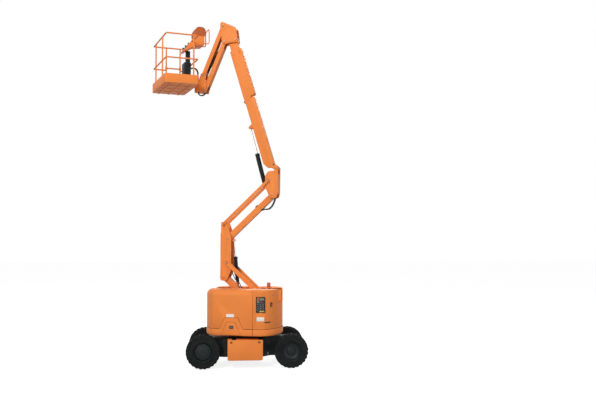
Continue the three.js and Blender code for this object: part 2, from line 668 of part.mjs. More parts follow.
// Flat bar with round ends and a bore at each end
function linkBar(length, depth, side) {
  const ends = [[0, 0], [length, 0]].sort((a, b) => a[0] - b[0]);
  const shape = tangentOutline([...ends[0], depth / 2], [...ends[1], depth / 2]);
  const [y0, y1] = [side * BAR_IN, side * BAR_OUT].sort((a, b) => a - b);
  return plateY(withHoles(shape, ends.map((at) => [...at, bore(PIN_RADIUS)])), y0, y1, 6);
}

// Upright mast between the two stages, around its lower pin
function midMast() {
  const back = MAST_EDGE + MAST_DEPTH;
  const shape = outline([
    [MAST_EDGE, -BOSS_RADIUS - 14, 70], [60, -BOSS_RADIUS - 14, 60], [back, 150, 40],
    [back, upperFoot[1] + 40, 40], [mastTop[0] + 60, mastTop[1] + 46, 30],
    [MAST_EDGE + 20, mastTop[1] + 46, 36]]);
  const web = box(MAST_EDGE, MAST_EDGE + 12, -PLATE_IN - 1, PLATE_IN + 1, 190, 980);
  const pins = [[0, 0], upperFoot].map((at) => pinY(PIN_RADIUS, -pinHalf, pinHalf, at));
  const stubs = [LOWER_LINK, mastTop].flatMap((at) => [
    pinY(PIN_RADIUS, PLATE_IN, stubOut, at), pinY(PIN_RADIUS, -stubOut, -PLATE_IN, at)]);
  return join([...bothSides(shape, PLATE_IN, PLATE_OUT), web, ...pins, ...stubs]);
}

// Barrel lying along X from its base pin, open for the rod at its far end
function cylinderBarrel(radius, rodRadius, length, eyeRadius = EYE_RADIUS, pinRadius = PIN_RADIUS / 2) {
  const tube = cylinder(radius, [eyeRadius - 4, 0, 0], [length, 0, 0]);
  const gland = cylinder(radius + 5, [length - 60, 0, 0], [length, 0, 0]);
  const body = join([tube, gland, pinY(eyeRadius, -EYE_HALF, EYE_HALF, [0, 0])]);
  const hollow = cylinder(bore(rodRadius), [eyeRadius + 12, 0, 0], [length + 1, 0, 0], HOLE_SIDES);
  return cut(body, [hollow, pinY(bore(pinRadius), -EYE_HALF - 1, EYE_HALF + 1, [0, 0])]);
}

// Rod lying along X back from its eye at the origin
function cylinderRod(radius, length, eyeRadius = EYE_RADIUS) {
  const body = join([
    cylinder(radius, [-length, 0, 0], [-eyeRadius + 4, 0, 0], HOLE_SIDES),
    pinY(eyeRadius, -EYE_HALF, EYE_HALF, [0, 0]),
  ]);
  return cut(body, [pinY(bore(PIN_RADIUS / 2), -EYE_HALF - 1, EYE_HALF + 1, [0, 0])]);
}

// Adds a cylinder on the parent's base pin, aimed at the eye; both points in the parent's frame
function addCylinder(parent, name, base, eye, barrel, rod) {
  const reach = [eye[0] - base[0], eye[1] - base[1]];
  const turnY = -THREE.MathUtils.radToDeg(Math.atan2(reach[1], reach[0]));
  const foot = pivot(parent, `pivot_${name}`, [base[0], 0, base[1]], { turnY });
  add(foot, `${name}_barrel`, barrel, black);
  const head = pivot(foot, `eye_${name}`, [Math.hypot(...reach), 0, 0]);
  add(head, `${name}_rod`, rod, steel);
}

// Point of a frame turned by degrees about Y, in its parent's frame
function turned([x, z], degrees) {
  const [cos, sin] = [Math.cos(radians(degrees)), Math.sin(radians(degrees))];
  return [x * cos + z * sin, z * cos - x * sin];
}

const lowerPivot = pivot(turret, 'pivot_riser', [LOWER_PIVOT[0], 0, LOWER_PIVOT[1]], { turnY: RISER_REST });
add(lowerPivot, 'lower_arm', lowerArm(), orange);

const lowerLinkAt = plus(LOWER_PIVOT, LOWER_LINK);
const lowerLink = pivot(
  turret, 'pivot_lower_link', [lowerLinkAt[0], 0, lowerLinkAt[1]], { turnY: RISER_REST });

const mast = pivot(lowerPivot, 'pivot_mast', [-RISER_LENGTH, 0, 0], { turnY: -RISER_REST });
add(mast, 'mid_mast', midMast(), orange);

const upperPivot = pivot(mast, 'pivot_upper_arm', [upperFoot[0], 0, upperFoot[1]], { turnY: -RISER_REST });
add(upperPivot, 'upper_arm', upperArm(), orange);
const upperRod = pivot(mast, 'pivot_upper_rod', [mastTop[0], 0, mastTop[1]], { turnY: -RISER_REST });
for (const [name, side] of SIDES) {
  add(lowerLink, `lower_link_bar_${name}`, linkBar(-RISER_LENGTH, LOWER_BAR_DEPTH, side), orange);
  add(upperRod, `upper_link_rod_${name}`, linkBar(RISER_LENGTH, ROD_DEPTH, side), orange);
}

// The riser cylinder's eye, brought from the upper arm's frame into the lower arm's
const eyeOnMast = plus(upperFoot, turned(RISER_EYE, -RISER_REST));
const riserEye = plus([-RISER_LENGTH, 0], turned(eyeOnMast, -RISER_REST));
addCylinder(lowerPivot, 'riser_cylinder', RISER_FOOT, riserEye,
  cylinderBarrel(RISER_BORE, 20, RISER_BARREL), cylinderRod(20, RISER_ROD));

// Link at the top of the upper stage, around the arm's pin
function upperLink() {
  const right = 124;
  const shape = outline([
    [-52, -BOSS_RADIUS - 6, 50], [96, -BOSS_RADIUS - 6, 50], [right, 60], [right + 6, BOOM_OFFSET[1] - 20],
    [right + 6, BOOM_OFFSET[1] + 42, 30], [BOOM_OFFSET[0] - 36, BOOM_OFFSET[1] + 42, 30],
    [BOOM_OFFSET[0] - 50, BOOM_OFFSET[1] - 55], [-96, 520, 24], [-158, 430, 30], [-160, 262],
    [-224, 240, 26], [-224, 186, 26], [-150, 160]]);
  const web = box(right - 16, right, -PLATE_IN - 1, PLATE_IN + 1, 10, 470);
  const pins = [[0, 0], BOOM_OFFSET].map((at) => pinY(PIN_RADIUS, -pinHalf, pinHalf, at));
  const stubs = [
    pinY(PIN_RADIUS, PLATE_IN, stubOut, UPPER_LINK), pinY(PIN_RADIUS, -stubOut, -PLATE_IN, UPPER_LINK)];
  const foot = pinY(PIN_RADIUS / 2, -PLATE_OUT, PLATE_OUT, LIFT_FOOT);
  return join([...bothSides(shape, PLATE_IN, PLATE_OUT), web, ...pins, ...stubs, foot]);
}

const link = pivot(upperPivot, 'pivot_link', [RISER_LENGTH, 0, 0], { turnY: RISER_REST });
add(link, 'upper_link', upperLink(), orange);

// ---------------------------------------------------------------- primary boom, along -X from its pivot

function primaryBoom() {
  const step = -BOOM_STEP;
  const lower = outline([
    [0, 30, 20], [44, 0, 20], [20, -50, 10], [-64, -140], [-83, -205], [-185, BOOM_BOTTOM],
    [step, BOOM_BOTTOM], [step, BOOM_TOP], [-140, BOOM_TOP, 40], [-60, 20, 20]]);
  const upper = outline([
    [step - 70, BOOM_UPPER_TOP], [-BOOM_END, BOOM_UPPER_TOP], [-BOOM_END, BOOM_UPPER_BOTTOM],
    [step + 80, BOOM_UPPER_BOTTOM, 10]]);
  const mouth = box(-BOOM_END - 1, -FLY_START + 10, -BOOM_HALF + BOOM_WALL, BOOM_HALF - BOOM_WALL,
    BOOM_BOTTOM + BOOM_WALL, BOOM_TOP - BOOM_WALL);
  const body = join([
    plateY(lower, -BOOM_HALF, BOOM_HALF),
    plateY(upper, -BOOM_UPPER_HALF, BOOM_UPPER_HALF),
    pinY(44, -PLATE_IN + RUN, PLATE_IN - RUN, [0, 0], 24),
    ...ears([LIFT_EYE[0] - 30, BOOM_BOTTOM + 10], LIFT_EYE, 34),
  ]);
  return cut(body, [mouth, pinY(bore(PIN_RADIUS), -PLATE_IN, PLATE_IN, [0, 0])]);
}

const boom = pivot(link, 'pivot_boom', [BOOM_OFFSET[0], 0, BOOM_OFFSET[1]], { turnY: BOOM_REST });
add(boom, 'primary_boom', primaryBoom(), orange);

const liftEye = plus(BOOM_OFFSET, turned(LIFT_EYE, BOOM_REST));
addCylinder(link, 'lift_cylinder', LIFT_FOOT, liftEye,
  cylinderBarrel(46, 20, LIFT_BARREL), cylinderRod(20, LIFT_ROD));

// Fly boom, sliding in the primary boom on its wear pads
function flyBoom() {
  const half = BOOM_HALF - BOOM_WALL - FLY_GAP;
  const top = BOOM_TOP - BOOM_WALL - FLY_GAP;
  const bottom = BOOM_BOTTOM + BOOM_WALL + FLY_GAP;
  const tip = -BOOM_TIP[0];
  const tube = box(tip + 40, -FLY_START - 10, -half, half, bottom, top);
  const pad = FLY_GAP - SEAT;
  const pads = [-FLY_START - 60, -BOOM_END + 90].map((x) => box(
    x - 60, x, -half - pad, half + pad, bottom - pad, top + pad));
  const noseShape = tangentOutline([tip + 60, BOOM_TIP[1] - 60, 80], [tip, BOOM_TIP[1], 46]);
  const nose = plateY(noseShape, -half, half, 6);
  return cut(join([tube, ...pads, nose]), [pinY(bore(PIN_RADIUS), -half - 1, half + 1, [tip, BOOM_TIP[1]])]);
}

const fly = pivot(boom, 'pivot_fly', [0, 0, 0]);
add(fly, 'fly_boom', flyBoom(), orange);

// ---------------------------------------------------------------- boom head and jib

const headTop = plus(JIB_FOOT, JIB_LINK);

// Levelled head around the boom's tip pin; it carries both jib arms
function boomHead() {
  const shape = outline([
    [52, -62, 20], [40, 60], [14, 262, 30], [-60, 300, 20], [headTop[0] - 30, headTop[1] + 96, 30],
    [headTop[0] - 66, headTop[1] + 40, 30], [JIB_FOOT[0] - 58, JIB_FOOT[1] + 20, 20],
    [JIB_FOOT[0] - 40, JIB_FOOT[1] - 56, 30], [JIB_FOOT[0] + 50, JIB_FOOT[1] - 56, 20], [-150, -74, 20]]);
  const pins = [[0, 0], JIB_FOOT, headTop].map((at) => pinY(PIN_RADIUS, -HEAD_OUT - 4, HEAD_OUT + 4, at));
  const web = pinY(24, -HEAD_IN - 1, HEAD_IN + 1, [-30, 240]);
  return join([...bothSides(shape, HEAD_IN, HEAD_OUT), ...pins, web]);
}

// Jib arm of two bars closed by one cover plate; the plate is on the side away from the other arm
function jibArm(coverSide) {
  const half = JIB_DEPTH / 2 - 3;
  const shape = withHoles(tangentOutline([-JIB_LENGTH, 0, half], [0, 0, half]),
    [[0, 0, bore(PIN_RADIUS)], [-JIB_LENGTH, 0, bore(PIN_RADIUS)]]);
  const edge = coverSide * half;
  const cover = box(-JIB_LENGTH + 130, -150, -JIB_IN - 1, JIB_IN + 1, edge, edge - coverSide * 9);
  return join([...bothSides(shape, JIB_IN, JIB_OUT, 6), cover]);
}

// Mount at the end of the jib, around its lower pin
function platformMount() {
  const bottom = ROTATOR_OFFSET[1] - 50;
  const bracketEdge = ROTATOR_OFFSET[0] + SUPPORT_HALF + RUN;
  const shape = outline([
    [40, -46, 30], [52, 10], [JIB_LINK[0] + 52, JIB_LINK[1]], [JIB_LINK[0] + 34, JIB_LINK[1] + 46, 24],
    [JIB_LINK[0] - 44, JIB_LINK[1] + 46, 30], [bracketEdge, ROTATOR_OFFSET[1] + ROTATOR_HEIGHT],
    [bracketEdge, ROTATOR_OFFSET[1] + 110, 20], [ROTATOR_OFFSET[0], bottom + 60],
    [ROTATOR_OFFSET[0], bottom]]);
  const [x] = ROTATOR_OFFSET;
  const collar = cylinder(ROTATOR_RADIUS, [x, 0, bottom], [x, 0, bottom + 160], 28);
  const yoke = box(x, x + 110, -HEAD_OUT, HEAD_OUT, bottom, bottom + 12);
  const pins = [pinY(PIN_RADIUS, -HEAD_OUT - 4, HEAD_OUT + 4, [0, 0])];
  const stubs = [
    pinY(PIN_RADIUS, earIn, HEAD_OUT + 4, JIB_LINK), pinY(PIN_RADIUS, -HEAD_OUT - 4, -earIn, JIB_LINK)];
  return join([...bothSides(shape, HEAD_IN, HEAD_OUT), collar, yoke, ...pins, ...stubs]);
}

const head = pivot(fly, 'pivot_head', [-BOOM_TIP[0], 0, BOOM_TIP[1]], { turnY: -BOOM_REST });
add(head, 'boom_head', boomHead(), orange);

const jib = pivot(head, 'pivot_jib', [JIB_FOOT[0], 0, JIB_FOOT[1]], { turnY: JIB_REST });
add(jib, 'jib_lower_arm', jibArm(-1), orange);
const jibLink = pivot(head, 'pivot_jib_link', [headTop[0], 0, headTop[1]], { turnY: JIB_REST });
add(jibLink, 'jib_upper_arm', jibArm(1), orange);

const mount = pivot(jib, 'pivot_mount', [-JIB_LENGTH, 0, 0], { turnY: -JIB_REST });
add(mount, 'platform_mount', platformMount(), orange);

const jibEye = plus(plus(JIB_FOOT, turned([-JIB_LENGTH, 0], JIB_REST)), JIB_LINK);
addCylinder(head, 'jib_cylinder', JIB_FOOT, jibEye,
  cylinderBarrel(34, 17, JIB_BARREL, 34, PIN_RADIUS), cylinderRod(17, JIB_ROD));

// ---------------------------------------------------------------- platform, around the rotator's axis

const platform = pivot(
  mount, 'pivot_platform', [ROTATOR_OFFSET[0], 0, ROTATOR_OFFSET[1]], { turnZ: PLATFORM_REST });
const outerX = PLATFORM_NEAR - PLATFORM_WIDTH;
const endY = PLATFORM_LENGTH / 2;
const railInset = KICK_WALL + RAIL_RADIUS + SEAT;
const railOuter = outerX + railInset;
const railRear = PLATFORM_NEAR - railInset;
const railEnd = endY - railInset;
const topZ = RAIL_HEIGHT - RAIL_RADIUS;
const postFoot = FLOOR_THICKNESS + 3;  // the kick plate holds the posts, clear of the floor
const entryPosts = [outerX + ENTRY_START, railRear - RAIL_RETURN - 22];

function roundedPlan(inset) {
  const corner = CORNER - inset;
  const [x0, x1, y] = [outerX + inset, PLATFORM_NEAR - inset, endY - inset];
  return outline([[x0, -y, corner], [x1, -y, corner], [x1, y, corner], [x0, y, corner]]);
}

function platformTray() {
  const space = plateZ(roundedPlan(KICK_WALL), FLOOR_THICKNESS, KICK_HEIGHT + 1);
  return cut(plateZ(roundedPlan(0), 0, KICK_HEIGHT), [space]);
}

function post(x, y, top = topZ) {
  return cylinder(RAIL_RADIUS, [x, y, postFoot], [x, y, top], 8);
}

// Long side of the guard rail at one X, turning the corners towards the ends
function longRail(x, towards, posts) {
  const back = x + towards * RAIL_RETURN;
  const rails = [topZ, MID_RAIL_HEIGHT].map((z) => bentTube(
    [[back, -railEnd, z], [x, -railEnd, z], [x, railEnd, z], [back, railEnd, z]], RAIL_BEND, RAIL_RADIUS));
  return join([...rails, ...posts.map((y) => post(x, y))]);
}

// Straight rail between the two long sides
function endRail(y, z, from = railOuter + RAIL_RETURN + SEAT, to = railRear - RAIL_RETURN - SEAT) {
  return cylinder(RAIL_RADIUS, [from, y, z], [to, y, z], 8);
}

function rightEnd() {
  const x = railRear - RAIL_RETURN - 30;
  return join([endRail(-railEnd, topZ), endRail(-railEnd, MID_RAIL_HEIGHT), post(x, -railEnd)]);
}

// End with the way in: its mid rail lifts between two posts
function leftEnd() {
  const stub = endRail(railEnd, MID_RAIL_HEIGHT, railOuter + RAIL_RETURN + SEAT, entryPosts[0]);
  return join([endRail(railEnd, topZ), stub, post(entryPosts[0], railEnd), post(entryPosts[1], railEnd)]);
}

function entryBar() {
  const z = MID_RAIL_HEIGHT + RAIL_RADIUS + SLEEVE_HEIGHT / 2 + SEAT;
  const sleeves = entryPosts.map((x) => cylinder(
    SLEEVE_RADIUS, [x, railEnd, z - SLEEVE_HEIGHT / 2], [x, railEnd, z + SLEEVE_HEIGHT / 2], 12));
  const bores = entryPosts.map((x) => cylinder(
    bore(RAIL_RADIUS), [x, railEnd, z - SLEEVE_HEIGHT], [x, railEnd, z + SLEEVE_HEIGHT], HOLE_SIDES));
  const bar = cylinder(RAIL_RADIUS, [entryPosts[0], railEnd, z], [entryPosts[1], railEnd, z], 8);
  return cut(join([...sleeves, bar]), bores);
}

// Bracket from the rotator to the rear wall of the tray
function platformSupport() {
  const bottom = 110 + SEAT;
  const rear = PLATFORM_NEAR + SEAT;
  return join([
    cylinder(ROTATOR_RADIUS - 6, [0, 0, bottom], [0, 0, ROTATOR_HEIGHT], 24),
    box(rear, 0, -SUPPORT_HALF, SUPPORT_HALF, bottom + 20, ROTATOR_HEIGHT - 20),
    box(rear, rear + 14, -230, 230, 20, KICK_HEIGHT + 60),
    box(railRear - RAIL_RADIUS, rear + 14, -230, 230, KICK_HEIGHT + SEAT, KICK_HEIGHT + 14),
  ]);
}

// Control console that carries the rear top rail on its shelf, its sloped side towards the operator
function platformControls() {
  const shelf = topZ - RAIL_RADIUS - SEAT;
  const shape = outline([
    [-345, 845], [-120, 985, 20], [CONSOLE_FACE, 1015, 20], [CONSOLE_FACE, CONSOLE_TOP, 20],
    [-110, CONSOLE_TOP, 20], [-150, 1130], [railRear + RAIL_RADIUS + 3, shelf], [railRear - 30, shelf],
    [-360, 880]]);
  return plateY(shape, -CONSOLE_HALF, CONSOLE_HALF);
}

function controlHood() {
  const foot = CONSOLE_TOP + SEAT;
  const shape = outline([
    [-120, foot], [110, foot, 10], [150, 1330, 60], [100, 1430, 50], [-60, 1440, 60], [-125, 1330, 30]]);
  return plateY(shape, -HOOD_HALF, HOOD_HALF);
}

// Upright tube hoop that guards the outer side of the console
function controlGuard() {
  const back = CONSOLE_FACE + SEAT;
  const side = CONSOLE_HALF - 40;
  const half = [[back, 1060], [GUARD_REACH, 1060], [GUARD_REACH, GUARD_TOP]];
  const right = half.map(([x, z]) => [x, -side, z]);
  const left = half.map(([x, z]) => [x, side, z]).reverse();
  return bentTube([...right, ...left], RAIL_BEND, GUARD_RADIUS);
}

// Duct and valve box below the console, on the inner side of the rear rails
function cableDuct() {
  const inner = railRear - RAIL_RADIUS - SEAT;
  return join([
    box(inner - 90, inner, -50, 50, 560, 880),
    box(inner - 150, inner, -130, 130, 330, 600),
  ]);
}

add(platform, 'platform_tray', platformTray(), orange);
add(platform, 'platform_support', platformSupport(), orange);
add(platform, 'guardrail_outer', longRail(railOuter, 1, [-290, 430]), orange);
add(platform, 'guardrail_rear', longRail(railRear, -1, [-300, 300]), orange);
add(platform, 'guardrail_right_end', rightEnd(), orange);
add(platform, 'guardrail_left_end', leftEnd(), orange);
const bar = pivot(platform, 'pivot_entry_bar', [0, 0, 0]);
add(bar, 'entry_bar', entryBar(), orange);
add(platform, 'platform_controls', platformControls(), orange);
add(platform, 'control_hood', controlHood(), shade);
add(platform, 'control_guard', controlGuard(), orange);
add(platform, 'cable_duct', cableDuct(), black);

// The frame's origin is on the ground under the middle of the whole machine
lift.updateMatrixWorld(true);
const middle = new THREE.Box3().setFromObject(lift, true).getCenter(new THREE.Vector3());
lift.position.set(-middle.x, -middle.y, 0);

export default lift;
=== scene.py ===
"""Looks of an articulating boom lift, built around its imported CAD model."""
import json
import math

import bmesh
import bpy
from mathutils import Matrix, Vector


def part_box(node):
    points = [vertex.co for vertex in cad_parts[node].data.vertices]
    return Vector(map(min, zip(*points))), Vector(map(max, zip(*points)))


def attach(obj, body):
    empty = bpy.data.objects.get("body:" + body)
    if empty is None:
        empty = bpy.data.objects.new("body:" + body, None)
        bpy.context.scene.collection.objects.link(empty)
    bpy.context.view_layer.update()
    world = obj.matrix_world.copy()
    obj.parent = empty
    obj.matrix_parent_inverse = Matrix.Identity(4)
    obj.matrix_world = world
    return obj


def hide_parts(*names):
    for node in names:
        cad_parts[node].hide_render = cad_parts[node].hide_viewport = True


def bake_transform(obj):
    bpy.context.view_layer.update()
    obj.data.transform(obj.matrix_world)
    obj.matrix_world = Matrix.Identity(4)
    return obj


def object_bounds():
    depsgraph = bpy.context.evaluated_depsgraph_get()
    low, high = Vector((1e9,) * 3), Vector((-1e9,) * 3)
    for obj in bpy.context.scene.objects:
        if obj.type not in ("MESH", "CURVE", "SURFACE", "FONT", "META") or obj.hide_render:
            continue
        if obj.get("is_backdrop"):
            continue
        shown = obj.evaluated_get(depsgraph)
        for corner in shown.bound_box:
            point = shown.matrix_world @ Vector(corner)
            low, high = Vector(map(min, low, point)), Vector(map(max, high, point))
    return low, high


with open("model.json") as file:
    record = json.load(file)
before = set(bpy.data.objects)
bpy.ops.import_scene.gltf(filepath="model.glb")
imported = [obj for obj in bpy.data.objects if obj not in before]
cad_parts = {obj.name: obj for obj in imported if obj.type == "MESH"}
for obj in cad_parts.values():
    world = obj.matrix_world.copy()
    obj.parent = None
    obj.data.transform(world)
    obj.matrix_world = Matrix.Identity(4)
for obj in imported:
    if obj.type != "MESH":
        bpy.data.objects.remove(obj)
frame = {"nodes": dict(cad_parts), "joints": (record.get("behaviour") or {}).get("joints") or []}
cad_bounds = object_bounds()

MM = 0.001
JOINTS = {joint["name"]: joint for joint in frame["joints"]}


def joint_at(name):
    return Vector(JOINTS[name]["pos_m"])


SLEW = joint_at("turret_slew")
SLEW.z = 0.0


# ---------------------------------------------------------------- camera

CAMERA_OFFSET = Vector((-0.325, -16.77, 2.88))
CAMERA_AZIMUTH, CAMERA_PITCH = math.radians(-5.0), math.radians(2.55)
CAMERA_LENS, SENSOR_WIDTH = 45.18, 36.0


def make_camera():
    data = bpy.data.cameras.new("camera")
    data.sensor_width = SENSOR_WIDTH
    data.lens = CAMERA_LENS
    camera = bpy.data.objects.new("camera", data)
    camera.location = SLEW + CAMERA_OFFSET
    camera.rotation_euler = (math.pi / 2 + CAMERA_PITCH, 0.0, CAMERA_AZIMUTH)
    bpy.context.scene.collection.objects.link(camera)
    bpy.context.scene.camera = camera


make_camera()

# ---------------------------------------------------------------- local frames, in millimetres

TURRET_YAW = -16.0
PLATFORM_YAW = 17.0
RISER_REST = 43.3
BOOM_REST = 73.2
JIB_REST = -67.4
UP = Vector((0, 0, 1))


def frame_at(origin, yaw=TURRET_YAW, tilt=0.0):
    """Matrix from millimetres in a local frame to metres, turned about Z and then about its own Y."""
    turn = Matrix.Rotation(math.radians(yaw), 4, "Z") @ Matrix.Rotation(math.radians(tilt), 4, "Y")
    return Matrix.Translation(origin) @ turn @ Matrix.Scale(MM, 4)


FRAMES = {
    "chassis": frame_at(SLEW, yaw=0.0),
    "turret": frame_at(SLEW),
    "lower_arm": frame_at(joint_at("riser_lift"), tilt=RISER_REST),
    "mid_mast": frame_at(joint_at("mast_level")),
    "upper_arm": frame_at(joint_at("upper_arm_turn"), tilt=-RISER_REST),
    "upper_link": frame_at(joint_at("link_level")),
    "primary_boom": frame_at(joint_at("primary_lift"), tilt=BOOM_REST),
    "boom_head": frame_at(joint_at("head_level")),
    "jib_lower_arm": frame_at(joint_at("jib_lift"), tilt=JIB_REST),
    "jib_upper_arm": frame_at(joint_at("jib_upper_arm_turn"), tilt=JIB_REST),
    "platform_mount": frame_at(joint_at("mount_level")),
}
PLATFORM_ORIGIN = joint_at("platform_rotate")
PLATFORM_ORIGIN.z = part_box("platform_tray")[0].z
FRAMES["platform"] = frame_at(PLATFORM_ORIGIN, yaw=PLATFORM_YAW)
for door in ("right_cover", "left_cover"):
    FRAMES[door] = FRAMES["turret"]
FRAMES["fly_boom"] = FRAMES["primary_boom"]
FRAMES["entry_bar"] = FRAMES["platform"]
FRAMES["world"] = Matrix.Scale(MM, 4)


def along_stroke(name):
    """Frame at a cylinder's base pin with X along its stroke."""
    x = Vector(JOINTS[f"{name}_cylinder_stroke"]["axis"]).normalized()
    y = Vector((math.sin(-math.radians(TURRET_YAW)), math.cos(math.radians(TURRET_YAW)), 0))
    turn = Matrix((x, y, x.cross(y))).transposed().to_4x4()
    return Matrix.Translation(joint_at(f"{name}_cylinder_turn")) @ turn @ Matrix.Scale(MM, 4)


for cylinder in ("riser", "lift", "jib"):
    FRAMES[f"{cylinder}_barrel"] = along_stroke(cylinder)


def to_world(name, points):
    """Points of a local frame in millimetres of the row frame."""
    return [FRAMES[name] @ Vector(p) / MM for p in points]


# ---------------------------------------------------------------- materials

def node(tree, kind, **values):
    made = tree.nodes.new(kind)
    for name, value in values.items():
        setattr(made, name, value)
    return made


def noise(tree, coordinates, scale, detail=4.0, roughness=0.5):
    made = node(tree, "ShaderNodeTexNoise")
    made.inputs["Scale"].default_value = scale
    made.inputs["Detail"].default_value = detail
    made.inputs["Roughness"].default_value = roughness
    tree.links.new(coordinates, made.inputs["Vector"])
    return made.outputs["Fac"]


def map_range(tree, value, low, high, to_low, to_high):
    made = node(tree, "ShaderNodeMapRange")
    for name, number in (("From Min", low), ("From Max", high), ("To Min", to_low), ("To Max", to_high)):
        made.inputs[name].default_value = number
    tree.links.new(value, made.inputs["Value"])
    return made.outputs["Result"]


def mix_colour(tree, factor, first, second):
    made = node(tree, "ShaderNodeMix", data_type="RGBA")
    colours = [socket for socket in made.inputs if socket.type == "RGBA"]
    for socket, colour in zip(colours, (first, second)):
        if hasattr(colour, "is_output"):
            tree.links.new(colour, socket)
        else:
            socket.default_value = (*colour, 1.0)
    tree.links.new(factor, made.inputs["Factor"])
    return next(socket for socket in made.outputs if socket.type == "RGBA")


def surface(name, colour, roughness, metallic=0.0, coat=0.0, patches=0.10, worn=None, worn_share=0.0,
            grain_scale=260.0, grain=0.03, roughness_spread=0.06, specular=0.5):
    """Material whose colour drifts in patches, with worn specks, uneven gloss and a fine grain."""
    material = bpy.data.materials.new(name)
    material.use_nodes = True
    tree = material.node_tree
    shader = tree.nodes["Principled BSDF"]
    where = node(tree, "ShaderNodeTexCoord").outputs["Object"]
    drift = map_range(tree, noise(tree, where, 1.7, 5.0), 0.3, 0.7, 0.0, 1.0)
    dark = tuple(channel * (1.0 - patches) for channel in colour)
    light = tuple(min(channel * (1.0 + patches * 0.7), 1.0) for channel in colour)
    tint = mix_colour(tree, drift, dark, light)
    if worn:
        specks = map_range(tree, noise(tree, where, 23.0, 9.0, 0.68), 0.80 - worn_share, 0.83 - worn_share, 0, 1)
        tint = mix_colour(tree, specks, tint, worn)
    tree.links.new(tint, shader.inputs["Base Color"])
    gloss = map_range(
        tree, noise(tree, where, 9.0, 6.0), 0.3, 0.7, roughness - roughness_spread, roughness + roughness_spread)
    tree.links.new(gloss, shader.inputs["Roughness"])
    shader.inputs["Metallic"].default_value = metallic
    shader.inputs["Coat Weight"].default_value = coat
    shader.inputs["Specular IOR Level"].default_value = specular
    bump = node(tree, "ShaderNodeBump")
    bump.inputs["Strength"].default_value = grain
    bump.inputs["Distance"].default_value = 0.002
    tree.links.new(noise(tree, where, grain_scale, 2.0), bump.inputs["Height"])
    tree.links.new(bump.outputs["Normal"], shader.inputs["Normal"])
    return material


def rubber_material():
    """Tyre rubber: black with pale dust in broad soft patches."""
    return surface("tyre_rubber", (0.0058, 0.0072, 0.0070), 0.8, patches=0.25, worn=(0.020, 0.019, 0.016),
                   worn_share=0.22, grain_scale=260.0, grain=0.1, roughness_spread=0.1, specular=0.16)


ORANGE = surface("orange_enamel", (0.80, 0.235, 0.052), 0.5, patches=0.05, specular=0.13,
                 worn=(0.58, 0.15, 0.035), worn_share=0.03, grain_scale=120.0, grain=0.010)
# Painted shade: orange darkened to stand for the shade under the control hood, which is seen from below.
PAINTED_SHADE_ORANGE = surface("orange_painted_shade", (0.42, 0.09, 0.02), 0.5, patches=0.06, specular=0.3, grain_scale=220.0,
                      grain=0.05)
SHADE = surface("orange_shade", (0.10, 0.022, 0.006), 0.7, patches=0.1, specular=0.1, grain_scale=200.0, grain=0.02)
BLACK = surface("black_enamel", (0.006, 0.0105, 0.0105), 0.5, patches=0.2, specular=0.2,
                worn=(0.022, 0.024, 0.023), worn_share=0.03, grain_scale=200.0, grain=0.03)
PLASTIC = surface("black_plastic", (0.012, 0.013, 0.013), 0.5, patches=0.15, grain_scale=520.0, grain=0.2)
RUBBER = rubber_material()
HOSE = surface("hose_rubber", (0.013, 0.013, 0.012), 0.55, patches=0.2, grain_scale=700.0, grain=0.25)
CHROME = surface("chromed_rod", (0.74, 0.75, 0.76), 0.11, metallic=1.0, patches=0.03, grain_scale=600.0,
                 grain=0.01, roughness_spread=0.03)
ZINC = surface("zinc_plate", (0.56, 0.56, 0.54), 0.36, metallic=1.0, patches=0.12, grain_scale=160.0, grain=0.06)
PIN_STEEL = surface("pin_steel", (0.34, 0.16, 0.10), 0.45, metallic=0.7, patches=0.18, grain_scale=200.0,
                    grain=0.08)
PALE = surface("blank_label", (0.78, 0.76, 0.70), 0.5, patches=0.03, grain_scale=300.0, grain=0.02)
RED = surface("red_plastic", (0.56, 0.022, 0.016), 0.3, coat=0.3, patches=0.05, grain_scale=300.0, grain=0.02)
YELLOW = surface("yellow_plastic", (0.82, 0.55, 0.05), 0.4, patches=0.05, grain_scale=300.0, grain=0.02)
GREY = surface("grey_plastic", (0.22, 0.23, 0.23), 0.45, patches=0.08, grain_scale=420.0, grain=0.08)


def lens_material():
    """Amber lens with a little transmission and a fine grain."""
    material = surface("amber_lens", (0.62, 0.105, 0.03), 0.16, coat=0.6, patches=0.1, grain_scale=90.0, grain=0.05)
    material.node_tree.nodes["Principled BSDF"].inputs["Transmission Weight"].default_value = 0.15
    return material


LENS = lens_material()

# ---------------------------------------------------------------- modifiers

BEVEL_ANGLE = math.radians(38)
SMOOTH_ANGLE = math.radians(33)
FLAT_ANGLE = math.radians(0.4)
MERGE_DISTANCE = 0.00002


def geometry_group(name):
    """Geometry-nodes group with its input and output nodes."""
    tree = bpy.data.node_groups.new(name, "GeometryNodeTree")
    for way in ("INPUT", "OUTPUT"):
        tree.interface.new_socket("Geometry", in_out=way, socket_type="NodeSocketGeometry")
    return tree, node(tree, "NodeGroupInput"), node(tree, "NodeGroupOutput")


def tidy_group():
    """Geometry nodes that drop stored normals and merge split vertices."""
    tree, start, end = geometry_group("tidy_mesh")
    drop = node(tree, "GeometryNodeRemoveAttribute")
    drop.inputs["Name"].default_value = "custom_normal"
    merge = node(tree, "GeometryNodeMergeByDistance")
    merge.inputs["Distance"].default_value = MERGE_DISTANCE
    tree.links.new(start.outputs[0], drop.inputs["Geometry"])
    tree.links.new(drop.outputs["Geometry"], merge.inputs["Geometry"])
    tree.links.new(merge.outputs["Geometry"], end.inputs[0])
    return tree


